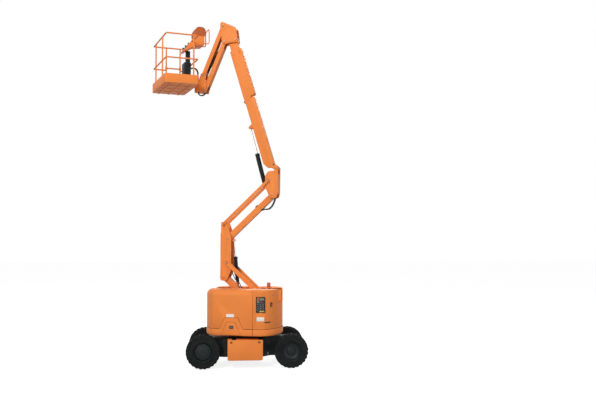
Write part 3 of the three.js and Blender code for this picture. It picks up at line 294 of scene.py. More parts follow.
def smooth_group():
    """Geometry nodes that shade smoothly except across edges sharper than SMOOTH_ANGLE."""
    tree, start, end = geometry_group("smooth_by_angle")
    faces = node(tree, "GeometryNodeSetShadeSmooth", domain="FACE")
    faces.inputs["Shade Smooth"].default_value = True
    edges = node(tree, "GeometryNodeSetShadeSmooth", domain="EDGE")
    edges.inputs["Shade Smooth"].default_value = False
    angle = node(tree, "GeometryNodeInputMeshEdgeAngle")
    sharp = node(tree, "FunctionNodeCompare", data_type="FLOAT", operation="GREATER_THAN")
    sharp.inputs[1].default_value = SMOOTH_ANGLE
    tree.links.new(angle.outputs["Unsigned Angle"], sharp.inputs[0])
    tree.links.new(start.outputs[0], faces.inputs["Geometry"])
    tree.links.new(faces.outputs["Geometry"], edges.inputs["Geometry"])
    tree.links.new(sharp.outputs[0], edges.inputs["Selection"])
    tree.links.new(edges.outputs["Geometry"], end.inputs[0])
    return tree


TIDY = tidy_group()
SMOOTH = smooth_group()


def add_nodes(piece, group):
    piece.modifiers.new(group.name, "NODES").node_group = group


def add_bevel(piece, width, segments=2):
    bevel = piece.modifiers.new("bevel", "BEVEL")
    bevel.width = width * MM
    bevel.segments = segments
    bevel.limit_method = "ANGLE"
    bevel.angle_limit = BEVEL_ANGLE
    bevel.use_clamp_overlap = True
    bevel.miter_outer = "MITER_ARC"


def dress_node(name, material, bevel, segments=2):
    """Gives a CAD node its finish: merged faces, rounded edges and smooth shading."""
    piece = frame["nodes"][name]
    add_nodes(piece, TIDY)
    flatten = piece.modifiers.new("flatten", "DECIMATE")
    flatten.decimate_type = "DISSOLVE"
    flatten.angle_limit = FLAT_ANGLE
    add_bevel(piece, bevel, segments)
    add_nodes(piece, SMOOTH)
    piece.data.materials.clear()
    piece.data.materials.append(material)


# ---------------------------------------------------------------- mesh building

def arc_corner(before, corner, after, radius, steps):
    """Points that round one corner of a polyline."""
    a = (before - corner).normalized()
    b = (after - corner).normalized()
    angle = a.angle(b)
    if radius <= 0 or angle > math.pi - 1e-3:
        return [corner]
    reach = min(radius / math.tan(angle / 2), (before - corner).length * 0.49, (after - corner).length * 0.49)
    radius = reach * math.tan(angle / 2)
    centre = corner + (a + b).normalized() * (radius / math.sin(angle / 2))
    start, end = corner + a * reach - centre, corner + b * reach - centre
    sweep = start.angle(end)
    points = []
    for i in range(steps + 1):
        t = i / steps
        weight = math.sin(sweep)
        points.append(centre + start * (math.sin((1 - t) * sweep) / weight) + end * (math.sin(t * sweep) / weight))
    return points


def rounded_path(points, radius, steps=6):
    points = [Vector(p) for p in points]
    path = [points[0]]
    for i in range(1, len(points) - 1):
        path += arc_corner(points[i - 1], points[i], points[i + 1], radius, steps)
    return path + [points[-1]]


def rounded_outline(points, steps=4):
    """Closed outline of (x, z) or (x, z, radius) corners, rounded."""
    outline = []
    for i, point in enumerate(points):
        corner = Vector((point[0], point[1], 0))
        before, after = points[i - 1], points[(i + 1) % len(points)]
        radius = point[2] if len(point) > 2 else 0
        outline += arc_corner(
            Vector((*before[:2], 0)), corner, Vector((*after[:2], 0)), radius, steps) if radius else [corner]
    return [(p.x, p.y) for p in outline]


def smooth_curve(points, steps=8):
    """Catmull-Rom curve through points."""
    points = [Vector(p) for p in points]
    ends = [points[0] * 2 - points[1]] + points + [points[-1] * 2 - points[-2]]
    curve = []
    for i in range(1, len(ends) - 2):
        a, b, c, d = ends[i - 1:i + 3]
        for k in range(steps):
            t = k / steps
            curve.append(0.5 * (2 * b + (c - a) * t + (2 * a - 5 * b + 4 * c - d) * t ** 2
                                + (3 * b - a - 3 * c + d) * t ** 3))
    return curve + [points[-1]]


def turns(count, start=0.0):
    """Angles spaced evenly round a circle."""
    return [2 * math.pi * (k + start) / count for k in range(count)]


class Shell:
    """Vertices and faces of one piece, in millimetres of a local frame."""

    def __init__(self):
        self.vertices, self.faces, self.slots = [], [], []
        self.materials, self.current = [], 0

    def use(self, material):
        if material not in self.materials:
            self.materials.append(material)
        self.current = self.materials.index(material)
        return self

    def add(self, vertices, faces):
        first = len(self.vertices)
        self.vertices += [tuple(v) for v in vertices]
        self.faces += [tuple(first + i for i in face) for face in faces]
        self.slots += [self.current] * len(faces)
        return self

    def loft(self, rings, closed=False, caps=True):
        """Skin over rings of equal length; closed joins the last ring to the first."""
        count = len(rings[0])
        faces = []
        spans = len(rings) if closed else len(rings) - 1
        for r in range(spans):
            a, b = r * count, ((r + 1) % len(rings)) * count
            for i in range(count):
                j = (i + 1) % count
                faces.append((a + i, a + j, b + j, b + i))
        if caps and not closed:
            faces.append(tuple(reversed(range(count))))
            faces.append(tuple((len(rings) - 1) * count + i for i in range(count)))
        return self.add([v for ring in rings for v in ring], faces)

    def tube(self, points, radius, sides=16):
        """Round tube that follows points; radius is one number or one for each point."""
        points = [Vector(p) for p in points]
        radii = radius if isinstance(radius, (list, tuple)) else [radius] * len(points)
        tangents = [(points[min(i + 1, len(points) - 1)] - points[max(i - 1, 0)]).normalized()
                    for i in range(len(points))]
        side = tangents[0].orthogonal().normalized()
        rings = []
        for point, tangent, size in zip(points, tangents, radii):
            side = (side - tangent * side.dot(tangent)).normalized()
            other = tangent.cross(side)
            rings.append([point + (side * math.cos(a) + other * math.sin(a)) * size
                          for a in turns(sides)])
        return self.loft(rings)

    def lathe(self, profile, centre, axis, sides=32):
        """Solid turned from (radius, distance along the axis) pairs."""
        centre, axis = Vector(centre), Vector(axis).normalized()
        side = axis.orthogonal().normalized()
        other = axis.cross(side)
        rings = [[centre + axis * along + (side * math.cos(a) + other * math.sin(a)) * radius
                  for a in turns(sides)] for radius, along in profile]
        return self.loft(rings)

    def ring(self, section, centre, axis, sides=32):
        """Closed ring turned from a closed section of (radius, distance along the axis) pairs."""
        centre, axis = Vector(centre), Vector(axis).normalized()
        side = axis.orthogonal().normalized()
        other = axis.cross(side)
        return self.loft([[centre + axis * along + (side * math.cos(a) + other * math.sin(a)) * radius
                           for radius, along in section]
                          for a in turns(sides)], closed=True)

    def prism(self, outline, low, high, plane="y"):
        """Plate with an outline in X and Z (plane y), X and Y (plane z) or Y and Z (plane x)."""
        def point(a, b, along):
            return {"y": (a, along, b), "z": (a, b, along), "x": (along, a, b)}[plane]
        area = sum(a[0] * b[1] - b[0] * a[1] for a, b in zip(outline, outline[1:] + outline[:1]))
        if (area > 0) == (plane == "y"):
            outline = outline[::-1]
        return self.loft([[point(a, b, low) for a, b in outline], [point(a, b, high) for a, b in outline]])

    def plate(self, low, high, radius, start, end, plane="y"):
        """Prism on a rectangle with rounded corners, given by its two outer corners."""
        (a0, b0), (a1, b1) = low, high
        corners = [(a0, b0, radius), (a1, b0, radius), (a1, b1, radius), (a0, b1, radius)]
        return self.prism(rounded_outline(corners), start, end, plane)

    def box(self, low, high):
        (x0, y0, z0), (x1, y1, z1) = low, high
        return self.prism([(x0, y0), (x1, y0), (x1, y1), (x0, y1)], z0, z1, "z")

    def moved(self, other, matrix):
        """Adds another shell's faces, moved by a matrix in millimetres."""
        first = len(self.vertices)
        self.vertices += [tuple(matrix @ Vector(v)) for v in other.vertices]
        for face, slot in zip(other.faces, other.slots):
            self.use(other.materials[slot])
            self.faces.append(tuple(first + i for i in face))
            self.slots.append(self.current)
        return self

    def build(self, name, body, slot, bevel=0.0, segments=2, local=None, stands_for=(), smooth=True):
        mesh = bpy.data.meshes.new(name)
        matrix = FRAMES[local or body]
        mesh.from_pydata([matrix @ Vector(v) for v in self.vertices], [], self.faces)
        for material in self.materials:
            mesh.materials.append(material)
        mesh.polygons.foreach_set("material_index", self.slots)
        solid = bmesh.new()
        solid.from_mesh(mesh)
        bmesh.ops.recalc_face_normals(solid, faces=solid.faces)
        solid.to_mesh(mesh)
        solid.free()
        piece = bpy.data.objects.new(name, mesh)
        bpy.context.scene.collection.objects.link(piece)
        if bevel:
            add_bevel(piece, bevel, segments)
        if smooth:
            add_nodes(piece, SMOOTH)
        if body:
            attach(piece, body)
        if stands_for:
            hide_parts(*stands_for)
        return piece


def bolt(shell, centre, axis, size, height, material=PIN_STEEL):
    """Hexagon head on its washer."""
    shell.use(material)
    shell.lathe([(size * 1.15, 0), (size * 1.15, 1.6), (size * 1.05, 2.0)], centre, axis, 20)
    at = Vector(centre) + Vector(axis).normalized() * 1.5
    shell.lathe([(size, 0), (size, height * 0.75), (size * 0.86, height)], at, axis, 6)


def pin_head(shell, centre, axis, radius, height=8.0):
    """Pin's end with a chamfer and a centre dimple."""
    shell.use(PIN_STEEL).lathe([(radius, -1), (radius, height * 0.6), (radius * 0.86, height),
                                (radius * 0.22, height), (radius * 0.16, height * 0.6)], centre, axis, 28)


# ---------------------------------------------------------------- CAD nodes that stay

ORANGE_NODES = {
    "turret_frame": 3, "tail_cover": 3, "turret_door_right": 3, "turret_door_left": 3,
    "lower_arm": 4, "upper_arm": 4, "lower_link_bar_left": 3, "lower_link_bar_right": 3,
    "upper_link_rod_left": 3, "upper_link_rod_right": 3, "mid_mast": 2.5, "upper_link": 2.5,
    "primary_boom": 4, "fly_boom": 3, "boom_head": 3, "jib_lower_arm": 3, "jib_upper_arm": 3,
    "platform_mount": 3, "platform_support": 4, "platform_tray": 3, "platform_controls": 6,
    "battery_cover_left": 4, "battery_cover_right": 4,
}
BLACK_NODES = {
    "chassis_frame": 4, "drive_axle": 4, "steer_axle": 4, "slew_bearing": 2, "steering_knuckle_left": 3,
    "steering_knuckle_right": 3, "tie_rod": 1, "counterweight_left": 4, "counterweight_right": 4,
    "battery_pack_left": 4, "battery_pack_right": 4, "cable_duct": 5,
    "riser_cylinder_barrel": 1.5, "lift_cylinder_barrel": 1.5,
    "jib_cylinder_barrel": 1.5,
}
for name, width in ORANGE_NODES.items():
    dress_node(name, ORANGE, width)
for name, width in BLACK_NODES.items():
    dress_node(name, BLACK, width)
for name in ("riser_cylinder_rod", "lift_cylinder_rod", "jib_cylinder_rod"):
    dress_node(name, CHROME, 0.8)
dress_node("beacon", LENS, 3)
# The control hood gets the painted-shade orange: its darkness stands for shade, not for its paint.
dress_node("control_hood", PAINTED_SHADE_ORANGE, 12, 4)


# ---------------------------------------------------------------- wheels

TYRE_HALF_WIDTH = 115.0
LUGS = 24


def tyre(shell, radius, rim_radius):
    """Tyre about the Y axis at the origin: rounded carcass, sidewall ridges and chevron lugs."""
    crown, half = radius - 11, TYRE_HALF_WIDTH
    shell.use(RUBBER)
    side = [
        (rim_radius - 8, half * 0.72), (rim_radius - 2, half * 0.86), (rim_radius + 12, half * 0.93),
        (rim_radius + 16, half * 0.985), (rim_radius + 24, half * 0.985), (rim_radius + 28, half * 0.95),
        (crown - 62, half * 0.99), (crown - 56, half * 1.0), (crown - 44, half * 1.0), (crown - 38, half * 0.975),
        (crown - 16, half * 0.93), (crown - 4, half * 0.80), (crown, half * 0.6)]
    profile = [(r, -y) for r, y in side] + [(r, y) for r, y in reversed(side)]
    profile += [(rim_radius - 10, half * 0.6), (rim_radius - 10, -half * 0.6)]
    sides = 72
    rings = [[Vector((r * math.cos(a), y, r * math.sin(a))) for r, y in profile]
             for a in turns(sides)]
    shell.loft(rings, closed=True)
    for hand in (-1, 1):
        for angle in turns(LUGS, 0.5 if hand > 0 else 0.0):
            lug(shell, angle, hand, crown, radius)


def lug(shell, angle, hand, crown, radius):
    """One slanted tread lug that runs from near the middle down over the shoulder."""
    half = TYRE_HALF_WIDTH
    stations = [(6, 0.0, 0), (40, 0.06, 0), (78, 0.13, 0), (98, 0.17, 3), (113, 0.185, 20), (114.5, 0.19, 44)]
    width = 0.062
    rings = []
    for y, turn, drop in stations:
        outer, inner = radius - drop, crown - 12 - drop
        depth_y = min(y, half) - (12 if drop > 15 else 0)
        corners = []
        for r, spread, across in ((outer, -width * 0.42, y), (outer, width * 0.42, y), (inner, width * 0.5, depth_y),
                                  (inner, -width * 0.5, depth_y)):
            a = angle + turn + spread
            corners.append(Vector((r * math.cos(a), hand * across, r * math.sin(a))))
        rings.append(corners if hand > 0 else corners[::-1])
    shell.loft(rings)


def rim(shell, outward, driven):
    """Wheel rim about the Y axis; outward is the side that shows its disc."""
    axis = (0, outward, 0)
    shell.use(BLACK)
    dish = [(206, -100), (212, -96), (212, 96), (206, 100), (200, 97), (194, 84), (188, 62), (176, 50)]
    if driven:
        profile = dish + [(172, 56), (168, 62), (60, 64), (58, 60)]
        hub = [(118, 55), (120, 78), (112, 82), (40, 82), (36, 79)]
    else:
        profile = dish + [(150, 30), (110, 20), (96, 22), (58, 24)]
        hub = [(92, 18), (88, 44), (70, 52), (60, 54)]
    shell.lathe(profile + [(58, 10), (58, -60), (196, -70), (202, -90)], (0, 0, 0), axis, 56)
    shell.lathe(hub, (0, 0, 0), axis, 40)
    ring, count, level, size = (146, 8, 64, 9) if driven else (78, 5, 50, 8)
    for a in turns(count, 0.25):
        bolt(shell, (ring * math.cos(a), outward * (level - 1), ring * math.sin(a)), axis, size, 8, BLACK)
    if driven:
        bolt(shell, (0, outward * 81, 0), axis, 11, 6, BLACK)
        for a in turns(3, 0.1):
            bolt(shell, (84 * math.cos(a), outward * 81, 84 * math.sin(a)), axis, 7, 4, BLACK)
    else:
        shell.lathe([(34, 50), (34, 60), (30, 66), (8, 69), (2, 69)], (0, 0, 0), axis, 32)


def make_wheel(name, driven):
    low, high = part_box(f"{name}_tyre")
    centre = (low + high) / 2
    radius = (high.z - low.z) / 2 / MM
    outward = 1 if centre.y > SLEW.y else -1
    FRAMES[name] = Matrix.Translation(centre) @ Matrix.Scale(MM, 4)
    rubber, disc = Shell(), Shell()
    tyre(rubber, radius, 212)
    rim(disc, outward, driven)
    rubber.build(f"{name}_rubber", name, "tyre_rubber", 1.6, 1, stands_for=[f"{name}_tyre"])
    disc.build(f"{name}_disc", name, "black_paint", 1.2, 1, stands_for=[f"{name}_rim"])


for side in ("left", "right"):
    make_wheel(f"drive_wheel_{side}", True)
    make_wheel(f"steer_wheel_{side}", False)

# ---------------------------------------------------------------- platform rails

RAIL_RADIUS = 16.0
RAIL_OUTER, RAIL_REAR, RAIL_END = -879.7, -180.3, 679.7
RAIL_TOP, RAIL_MID, POST_FOOT = 1084.0, 556.0, 48.0
RETURN, BEND = 60.0, 45.0


def weld(shell, centre, axis, radius, size=3.2):
    """Rippled fillet of weld round a tube's joint."""
    centre, axis = Vector(centre), Vector(axis).normalized()
    side = axis.orthogonal().normalized()
    other = axis.cross(side)
    rings = []
    for k, a in enumerate(turns(36)):
        out = side * math.cos(a) + other * math.sin(a)
        thick = size * (1.0 + 0.16 * math.sin(k * 2.1))
        rings.append([centre + out * (radius - 1) + (out * math.cos(b) + axis * math.sin(b)) * thick
                      for b in turns(6)])
    shell.use(ORANGE).loft(rings, closed=True)


def post(shell, x, y):
    shell.use(ORANGE).tube([(x, y, POST_FOOT), (x, y, RAIL_TOP)], RAIL_RADIUS, 24)
    weld(shell, (x, y, RAIL_TOP - RAIL_RADIUS), (0, 0, 1), RAIL_RADIUS)
    weld(shell, (x, y, RAIL_MID + RAIL_RADIUS), (0, 0, 1), RAIL_RADIUS)
    weld(shell, (x, y, RAIL_MID - RAIL_RADIUS), (0, 0, 1), RAIL_RADIUS)


def long_rail(name, x, towards, posts):
    shell = Shell().use(ORANGE)
    back = x + towards * RETURN
    for z in (RAIL_TOP, RAIL_MID):
        path = rounded_path([(back, -RAIL_END, z), (x, -RAIL_END, z), (x, RAIL_END, z), (back, RAIL_END, z)], BEND)
        shell.use(ORANGE).tube(path, RAIL_RADIUS, 24)
    for y in posts:
        post(shell, x, y)
    shell.build(f"{name}_tubes", "platform", "orange_paint", stands_for=[name])


def end_rails(name, y, posts, mid_to):
    shell = Shell().use(ORANGE)
    first, last = RAIL_OUTER + RETURN, RAIL_REAR - RETURN
    shell.tube([(first, y, RAIL_TOP), (last, y, RAIL_TOP)], RAIL_RADIUS, 24)
    shell.tube([(first, y, RAIL_MID), (mid_to or last, y, RAIL_MID)], RAIL_RADIUS, 24)
    for x in posts:
        post(shell, x, y)
    for x in (first, last):
        weld(shell, (x, y, RAIL_TOP), (1, 0, 0), RAIL_RADIUS, 2.4)
    weld(shell, (first, y, RAIL_MID), (1, 0, 0), RAIL_RADIUS, 2.4)
    shell.build(f"{name}_tubes", "platform", "orange_paint", stands_for=[name])


ENTRY_POSTS = (-590.0, -262.3)
long_rail("guardrail_outer", RAIL_OUTER, 1, (-290, 430))
long_rail("guardrail_rear", RAIL_REAR, -1, (-300, 300))
end_rails("guardrail_right_end", -RAIL_END, (-270.3,), None)
end_rails("guardrail_left_end", RAIL_END, ENTRY_POSTS, ENTRY_POSTS[0])


def make_entry_bar():
    shell = Shell().use(ORANGE)
    low, high = RAIL_MID + RAIL_RADIUS + 0.3, RAIL_MID + RAIL_RADIUS + 70.3
    middle = (low + high) / 2
    shell.tube([(ENTRY_POSTS[0] + 18, RAIL_END, middle), (ENTRY_POSTS[1] - 18, RAIL_END, middle)], RAIL_RADIUS, 24)
    for x in ENTRY_POSTS:
        wall = [(16.6, low), (25, low), (25, high), (16.6, high)]
        rings = [[Vector((x + r * math.cos(a), RAIL_END + r * math.sin(a), z)) for r, z in wall]
                 for a in turns(28)]
        shell.use(ORANGE).loft(rings, closed=True)
    shell.build("entry_bar_tube", "entry_bar", "orange_paint", 1.5, 2, stands_for=["entry_bar"])


make_entry_bar()


def make_guard():
    shell = Shell().use(ORANGE)
    back, side, reach, top = 100.3, 150, 215, 1400
    path = rounded_path([(back, -side, 1060), (reach, -side, 1060), (reach, -side, top), (reach, side, top),
                         (reach, side, 1060), (back, side, 1060)], BEND)
    shell.tube(path, 11, 20)
    for y in (-side, side):
        shell.lathe([(20, 0), (20, 5), (18, 6.5)], (back, y, 1060), (1, 0, 0), 24)
    shell.build("control_guard_tube", "platform", "orange_paint", 1.0, 1, stands_for=["control_guard"])


make_guard()

# ---------------------------------------------------------------- turret details

COVER_HALF, COVER_TAIL, TAIL_START = 655.0, 790.0, 400.0
NOSE_RADIUS, NOSE_FLAT, FLANK_START = 880.0, 830.0, -587.7
SKIRT_TOP, SKIRT_BOTTOM, SKIRT_PROUD = 829.0, 697.0, 7.6


def cover_half(x):
    """Half width of the covers at x."""
    if x < FLANK_START:
        return math.sqrt(NOSE_RADIUS ** 2 - x * x)
    if x <= TAIL_START:
        return COVER_HALF
    share = min((x - TAIL_START) / (COVER_TAIL - TAIL_START), 1.0)
    return COVER_HALF * math.sqrt(1 - share * share)


def cover_frame(x, z, side=-1):
    """Frame on the covers' surface: X along the surface, Y into the machine, Z up."""
    step = 0.5
    run = Vector((2 * step, side * (cover_half(x + step) - cover_half(x - step)), 0)).normalized()
    inward = Vector((-run.y, run.x, 0)) * (-side)
    turn = Matrix((run, inward, run.cross(inward))).transposed().to_4x4()
    return Matrix.Translation((x, side * cover_half(x), z)) @ turn


def cover_path(x_from, x_to, steps=40):
    """Points and outward normals along the right side of the plan."""
    path = []
    for i in range(steps + 1):
        t = i / steps
        x = x_from + (x_to - x_from) * (math.sin(t * math.pi / 2) if x_to > 700 else t)
        a = cover_frame(min(x, COVER_TAIL - 0.6), 0)
        path.append((Vector((x, -cover_half(x), 0)), -(a.to_3x3() @ Vector((0, 1, 0)))))
    return path


def mirrored(path):
    return [(Vector((p.x, -p.y, 0)), Vector((n.x, -n.y, 0))) for p, n in path]


def over_sides(path, sides):
    """The right side's path as it is, mirrored, or carried round the tail over both sides."""
    if len(sides) == 2:
        return path + mirrored(reversed(path[:-1]))
    return path if sides[0] < 0 else mirrored(path)


def skirt(name, body, x_from, x_to, sides, nose=False):
    """Fuller band round the foot of a cover."""
    shell = Shell().use(ORANGE)
    path = cover_path(x_from, x_to)
    if nose:
        path.insert(0, (Vector((-NOSE_FLAT, -235, 0)), Vector((-1, 0, 0))))
        path[1] = (path[1][0], (path[1][1] + Vector((-1, 0, 0))).normalized())
    section = [(-3, SKIRT_BOTTOM + 3), (SKIRT_PROUD * 0.45, SKIRT_BOTTOM), (SKIRT_PROUD, SKIRT_BOTTOM + 26),
               (SKIRT_PROUD, SKIRT_TOP - 12), (SKIRT_PROUD - 4, SKIRT_TOP - 3), (-3, SKIRT_TOP)]
    shell.loft([[p + n * out + UP * z for out, z in section] for p, n in over_sides(path, sides)])
    shell.build(name, body, "orange_paint", 2.0)


def on_side(side, a, b):
    """Low and high Y of a layer between two distances from the middle, on one side."""
    return sorted((side * a, side * b))


def flank_field(shell, side, outline, low, high, material):
    """Raised field on the flat flank of a door."""
    layer = on_side(side, COVER_HALF + low, COVER_HALF + high)
    shell.use(material).prism(rounded_outline(outline, 5), *layer)


def painted_shadow_line(name, body, x_from, x_to, sides):
    """Painted shadow: a dark strip standing for the shadow line above the fuller band."""
    shell = Shell().use(SHADE)
    section = [(-2, SKIRT_TOP - 4), (3, SKIRT_TOP - 4), (3, SKIRT_TOP + 5), (-2, SKIRT_TOP + 5)]
    path = over_sides(cover_path(x_from, x_to), sides)
    shell.loft([[p + n * out + UP * z for out, z in section] for p, n in path])
    shell.build(name, body, "black_paint")


def grown(points, by):
    """Outline pushed outwards from its middle by a distance on each axis."""
    middle = [sum(p[axis] for p in points) / len(points) for axis in (0, 1)]
    return [(p[0] + math.copysign(by, p[0] - middle[0]), p[1] + math.copysign(by, p[1] - middle[1]), *p[2:])
            for p in points]


OUTER_FIELD = [(-455, 800), (105, 800), (-32, 1072, 26), (-313, 1072, 26)]
INNER_FIELD = [(-400, 706), (34, 706), (-88, 978, 20), (-268, 978, 20)]


def door_details(side, body, word):
    # Painted shadow: a dark strip for the shadow line above the door's fuller band.
    painted_shadow_line(f"door_painted_shadow_line_{word}", body, -NOSE_FLAT, 296.0, (side,))
    # Painted shadow: slightly larger dark plates behind the raised fields stand for the shadow lines round their
    # edges.
    lines = Shell()
    flank_field(lines, side, grown(OUTER_FIELD, 6), -3, 3, SHADE)
    flank_field(lines, side, grown(INNER_FIELD, 5), 8, SKIRT_PROUD + 1.5, SHADE)
    lines.build(f"door_painted_shadow_outlines_{word}", body, "black_paint")
    skirt(f"door_skirt_{word}", body, -NOSE_FLAT, 296.0, (side,), nose=True)
    shell = Shell()
    flank_field(shell, side, OUTER_FIELD, -3, SKIRT_PROUD - 0.5, ORANGE)
    flank_field(shell, side, INNER_FIELD, 8, SKIRT_PROUD + 6, ORANGE)
    shell.build(f"door_field_{word}", body, "orange_paint", 4.0, 3)
    latch = Shell().use(PLASTIC)
    face = COVER_HALF + SKIRT_PROUD + 12
    y1 = side * face
    latch.plate((-212, 838), (-120, 906), 12, *on_side(side, COVER_HALF + SKIRT_PROUD + 5, face))
    latch.use(GREY).tube([(-196, y1, 884), (-196, y1 + side * 12, 878), (-140, y1 + side * 12, 862),
                          (-136, y1, 858)], 5, 12)
    latch.build(f"door_latch_{word}", body, "black_paint", 2.0)
    label = Shell().use(PALE)
    label.prism([(-284, 1084), (-112, 1084), (-112, 1150), (-284, 1150)],
                *on_side(side, COVER_HALF - 2, COVER_HALF + 0.8))
    label.build(f"door_label_{word}", body, "orange_paint")


door_details(-1, "right_cover", "right")
door_details(1, "left_cover", "left")
skirt("tail_skirt", "turret", 304.0, COVER_TAIL, (-1, 1))
# Painted shadow: a dark strip for the shadow line above the tail's fuller band.
painted_shadow_line("tail_painted_shadow_line", "turret", 304.0, COVER_TAIL, (-1, 1))


def on_cover(shell, x, z, side, build):
    """Adds what build makes in a frame on the covers' surface."""
    part = Shell()
    build(part)
    shell.moved(part, cover_frame(x, z, side))


def plate_on_cover(material, half_width, half_height, proud, radius=6.0):
    def build(part):
        part.use(material).plate((-half_width, -half_height), (half_width, half_height), radius, -proud, 4)
    return build


def screw_on_cover(part):
    part.use(PIN_STEEL).lathe([(13, -3), (13, 1.5), (10, 4), (3, 4), (2, 2)], (0, 0, 0), (0, -1, 0), 20)


def stop_button(part):
    part.use(PLASTIC).plate((-32, -62), (32, 62), 14, -5, 4)
    part.use(RED).lathe([(12, -2), (12, 14), (21, 17), (22, 24), (17, 29), (4, 30)], (0, -4, 8), (0, -1, 0), 28)
    part.use(YELLOW).plate((-24, -52), (24, -34), 4, -6.5, -4)


tail = Shell()
on_cover(tail, 668, 1338, -1, stop_button)
for z in (1546, 1172):
    on_cover(tail, 690, z, -1, screw_on_cover)
    on_cover(tail, 690, z, 1, screw_on_cover)
on_cover(tail, 605, 980, -1, plate_on_cover(PLASTIC, 74, 13, 2.0, 12))
on_cover(tail, 470, 1050, -1, plate_on_cover(PALE, 82, 42, 1.2, 4))
on_cover(tail, 470, 1050, 1, plate_on_cover(PALE, 82, 42, 1.2, 4))
on_cover(tail, 605, 980, 1, plate_on_cover(PLASTIC, 74, 13, 2.0, 12))
tail.build("tail_fittings", "turret", "black_paint", 1.5)

PANEL_FROM, PANEL_TO = Vector((375.0, -655.0, 0)), Vector((560.0, -cover_half(560.0), 0))
PANEL_PROUD, PANEL_RECESS = 24.0, 10.0


def ground_panel():
    """Switches and lamps on the face of the ground controls."""
    run = (PANEL_TO - PANEL_FROM).normalized()
    inward = Vector((-run.y, run.x, 0))
    turn = Matrix((run, inward, UP)).transposed().to_4x4()
    box_place = Matrix.Translation(PANEL_FROM - inward * PANEL_PROUD) @ turn
    place = Matrix.Translation(PANEL_FROM + inward * PANEL_RECESS) @ turn
    width = (PANEL_TO - PANEL_FROM).length
    shell = Shell().use(BLACK)
    low, high, wall, deep = 1190, 1520, 9, PANEL_PROUD + 160
    for x0, x1, z0, z1 in ((0, wall, low, high), (width - wall, width, low, high),
                           (wall, width - wall, low, low + wall), (wall, width - wall, high - wall, high)):
        shell.box((x0, 0, z0), (x1, deep, z1))
    shell.box((wall, PANEL_PROUD + PANEL_RECESS + 2, low + wall), (width - wall, deep, high - wall))
    Shell().moved(shell, box_place).build("ground_panel_box", "turret", "black_paint", 2.0,
                                          stands_for=["ground_controls"])
    part = Shell().use(PLASTIC)
    part.plate((10, 1200), (width - 10, 1510), 4, -3, 2)
    part.use(YELLOW).plate((18, 1446), (72, 1500), 6, -4.2, -2)
    part.use(RED).lathe([(13, 0), (13, 12), (21, 15), (22, 22), (16, 27), (4, 28)], (45, -4, 1473), (0, -1, 0), 28)
    part.use(GREY).plate((88, 1452), (176, 1498), 4, -4.5, -2)
    part.use(ZINC).lathe([(12, 0), (12, 6), (9, 9), (3, 9), (2, 6)], (45, -3, 1412), (0, -1, 0), 24)
    for row in range(4):
        for column in range(3):
            x, z = 40 + column * 57, 1368 - row * 42
            part.use(ZINC).lathe([(9, 0), (9, 3), (6, 5), (2.5, 5)], (x, -3, z), (0, -1, 0), 6)
            part.use(BLACK).tube([(x, -7, z), (x, -17, z + 5), (x, -24, z + 8)], [2.6, 3.2, 4.2], 12)
    part.use(YELLOW).plate((70, 1204), (180, 1222), 4, -4.2, -2)
    part.use(RED).plate((96, 1408), (116, 1424), 4, -4.2, -2)
    Shell().moved(part, place).build("ground_panel_face", "turret", "black_paint", 0.8, 1)


ground_panel()


def beacon_base():
    shell = Shell().use(PLASTIC)
    centre = (430, 290, 1662)
    shell.lathe([(52, 0), (52, 8), (46, 12)], centre, (0, 0, 1), 36)
    for k in range(5):
        z = 1686 + k * 18
        shell.use(LENS).lathe([(43.4, 0), (45.4, 3), (45.4, 6), (43.4, 9)], (430, 290, z), (0, 0, 1), 36)
    shell.build("beacon_rings", "turret", "amber_lens", 0.6, 1)


beacon_base()

# ---------------------------------------------------------------- chassis details

def chassis_fittings():
    shell = Shell()
    for a in turns(24):
        bolt(shell, (383 * math.cos(a), 383 * math.sin(a), 599), (0, 0, 1), 9, 9, BLACK)
    for side in (-1, 1):
        for x in (-470, 470):
            shell.use(BLACK)
            eye = rounded_outline([(x - 34, 470, 6), (x + 34, 470, 6), (x + 26, 560, 20), (x - 26, 560, 20)], 5)
            shell.prism(eye, *on_side(side, 379, 391))
            bolt(shell, (x, side * 391, 520), (0, side, 0), 12, 9, BLACK)
        blocks = [(BLACK, -478, -440, 396, 400, 452), (GREY, 438, 462, 384, 250, 300)]
        blocks += [(BLACK, x, x + 90, 700, 611, 614) for x in (-330, 240)]
        for material, x0, x1, reach, z0, z1 in blocks:
            low, high = on_side(side, 380, reach)
            shell.use(material).box((x0, low, z0), (x1, high, z1))
    shell.build("chassis_fittings", "chassis", "black_paint", 1.5)


def battery_latches():
    shell = Shell()
    for side in (-1, 1):
        for x in (-340, 250):
            shell.use(PLASTIC).plate((x - 22, 546), (x + 22, 584), 8, *on_side(side, 720, 728))
            bolt(shell, (x, side * 728, 565), (0, side, 0), 6, 4)
    shell.build("battery_cover_latches", "chassis", "black_paint", 1.2)


chassis_fittings()
battery_latches()

# ---------------------------------------------------------------- pins, bolts and pads on the booms

SHORT_PIN, LONG_PIN, HEAD_PIN = 140.0, 178.0, 116.0


def pins(body, short=(), long=(), head=()):
    """Pin ends on both sides: short are flush discs inside the outer bars, the others stand proud."""
    shell = Shell()
    for x, z in short:
        for side in (-1, 1):
            shell.use(PIN_STEEL).lathe([(22.4, -4), (22.4, 0), (21, 0.6), (4, 0.6)], (x, side * SHORT_PIN, z),
                                       (0, side, 0), 28)
    for ends, reach, radius in ((long, LONG_PIN, 30), (head, HEAD_PIN, 27)):
        for x, z in ends:
            for side in (-1, 1):
                pin_head(shell, (x, side * reach, z), (0, side, 0), radius)
                bolt(shell, (x, side * (reach + 5), z), (0, side, 0), 7, 4)
    shell.build(f"{body}_pins", body, "orange_paint", 0.8, 1)


pins("mid_mast", short=[(0, 0), (79, 864)], long=[(74, 334), (-9, 1184)])
pins("upper_link", short=[(0, 0), (95, 593)], long=[(-88, 320)])
pins("boom_head", head=[(0, 0), (-262, -37), (-292, 323)])
pins("platform_mount", head=[(0, 0), (-30, 360)])


